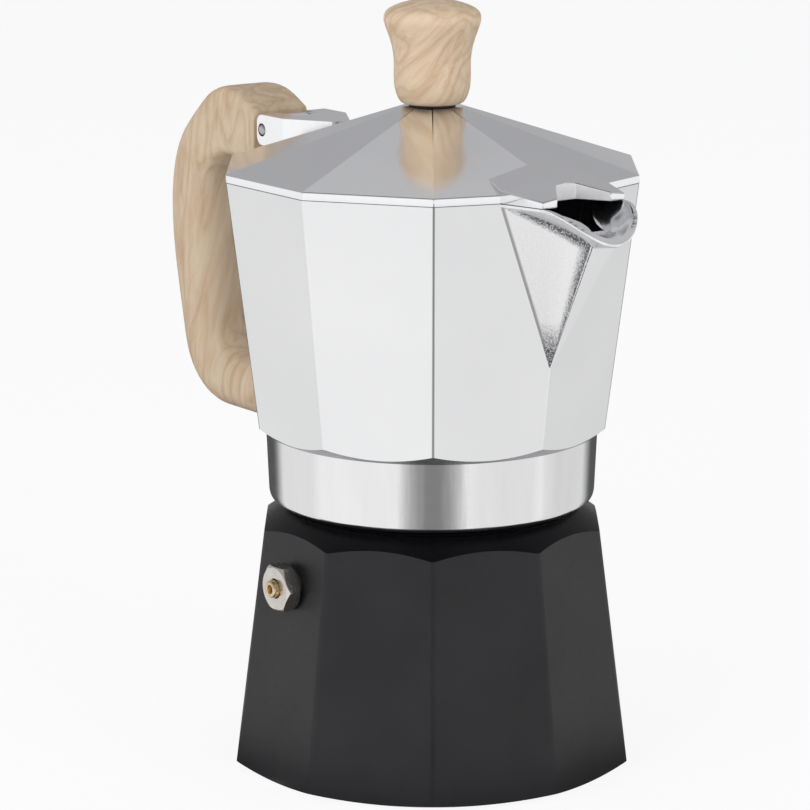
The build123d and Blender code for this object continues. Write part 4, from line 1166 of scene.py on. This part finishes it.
world = bpy.data.worlds.new("studio_surroundings")
scene.world = world
world.use_nodes = True
tree = world.node_tree
tree.nodes.clear()
direction = add_node(tree, "TexCoord").outputs["Generated"]
height = add_node(tree, "SeparateXYZ", {"Vector": direction}).outputs["Z"]
level = spread(height, 0.0, 1.0, -0.2, 1.0)
surround = tinted(
    level,
    (0.15, (0.80, 0.80, 0.80)), (0.24, (0.40, 0.40, 0.41)), (0.62, (0.41, 0.41, 0.425)),
    (0.78, (0.56, 0.56, 0.575)), (0.90, (0.10, 0.10, 0.10)), (1.0, (0.05, 0.05, 0.05)),
)
sky = tinted(level, (0.1, (1, 1, 1)), (1.0, (0.42, 0.43, 0.45)))
path = add_node(tree, "LightPath")
mirrored = sums("MAXIMUM", path.outputs["Is Glossy Ray"], path.outputs["Is Transmission Ray"])
lit = add_node(tree, "Background", {"Color": sky, "Strength": 0.85})
reflected = add_node(tree, "Background", {"Color": surround, "Strength": 1.0})
white = add_node(tree, "Background", {"Color": (1, 1, 1, 1), "Strength": 1.0})
first_mix = add_node(
    tree, "MixShader", {0: mirrored, 1: lit.outputs["Background"], 2: reflected.outputs["Background"]}
)
second_mix = add_node(
    tree, "MixShader",
    {0: path.outputs["Is Camera Ray"], 1: first_mix.outputs["Shader"], 2: white.outputs["Background"]},
)
output = add_node(tree, "OutputWorld")
tree.links.new(second_mix.outputs["Shader"], output.inputs["Surface"])


def lamp(name, place, size, power):
    """A soft square lamp aimed at the middle of the pot, which its polish doesn't mirror."""
    fresh()
    bpy.ops.object.light_add(type="AREA", location=place)
    made = bpy.context.object
    made.name = name
    made.data.shape = "SQUARE"
    made.data.size = size
    made.data.energy = power
    made.rotation_euler = (Vector((0, 0, 0.09)) - Vector(place)).to_track_quat("-Z", "Y").to_euler()
    made.visible_glossy = False


lamp("key_lamp", (0.25, -1.25, 0.6), 0.9, 9)
lamp("fill_lamp", (1.2, 0.15, 0.5), 0.8, 5)


def toned(card, level):
    """Lets a card show in the pot's polish alone, at some level between black and white."""
    paint, shader, place = new_finish(card.name)
    tree = shader.id_data
    glow = add_node(tree, "Emission", {"Color": (level, level, level, 1), "Strength": 1.0})
    tree.links.new(glow.outputs["Emission"], tree.nodes["Material Output"].inputs["Surface"])
    card.data.materials.append(paint)
    card.visible_camera = card.visible_diffuse = card.visible_shadow = card.visible_transmission = False


def floor_card(name, azimuth, width, near, far, level, height):
    """A card lying on the floor beside the pot, its middle at an angle from the spout."""
    angles = [radians(azimuth + width * (step / 8 - 0.5)) for step in range(9)]
    corners = [(near * cos(a), near * sin(a)) for a in angles]
    corners += [(far * cos(a), far * sin(a)) for a in reversed(angles)]
    toned(block(name, corners, height, height + 0.004), level)


card_near, card_far, shade_far, card_step = 46, 700, 74, 0.01
dark_widths, dark_levels = (62, 56, 50, 44, 36), (0.65, 0.48, 0.32, 0.18, 0.08)
for side, azimuth, lowest, widths, levels in (
    ("left", -143, 0.05, (64, 54, 44), (0.92, 0.86, 0.80)),
    ("spout_side", 14, 0.1, (56, 48, 40), (0.93, 0.88, 0.82)),
    ("right", 70, 0.05, (62, 48, 34), (0.81, 0.77, 0.73)),
    ("front_left", -95, 0.02, (72,), (0.93,)),
    ("front", -35.5, 0.2, (44, 38, 31, 22, 12), (0.78, 0.58, 0.42, 0.31, 0.22)),
    ("far_right", 120, 0.2, dark_widths, dark_levels),
    ("far_left", 170, 0.2, dark_widths, dark_levels),
):
    for step, (width, level) in enumerate(zip(widths, levels)):
        height = lowest + card_step * step
        floor_card(f"{side}_card_{step}", azimuth, width, card_near, card_far, level, height)
floor_card("foot_shade", 0, 359.9, card_near, shade_far, 0.1, 0.6)

camera_data = bpy.data.cameras.new("camera")
camera = bpy.data.objects.new("camera", camera_data)
scene.collection.objects.link(camera)
camera_data.sensor_width = 36.0
camera_data.lens = 159.904
forward = Vector((-0.790, 0.574, -0.2168)).normalized()
right = forward.cross(Vector((0, 0, 1))).normalized()
up = right.cross(forward)
turn = Matrix((right, up, -forward)).transposed().to_4x4()
camera.matrix_world = Matrix.Translation((0.62272, -0.45975, 0.25152)) @ turn
scene.camera = camera
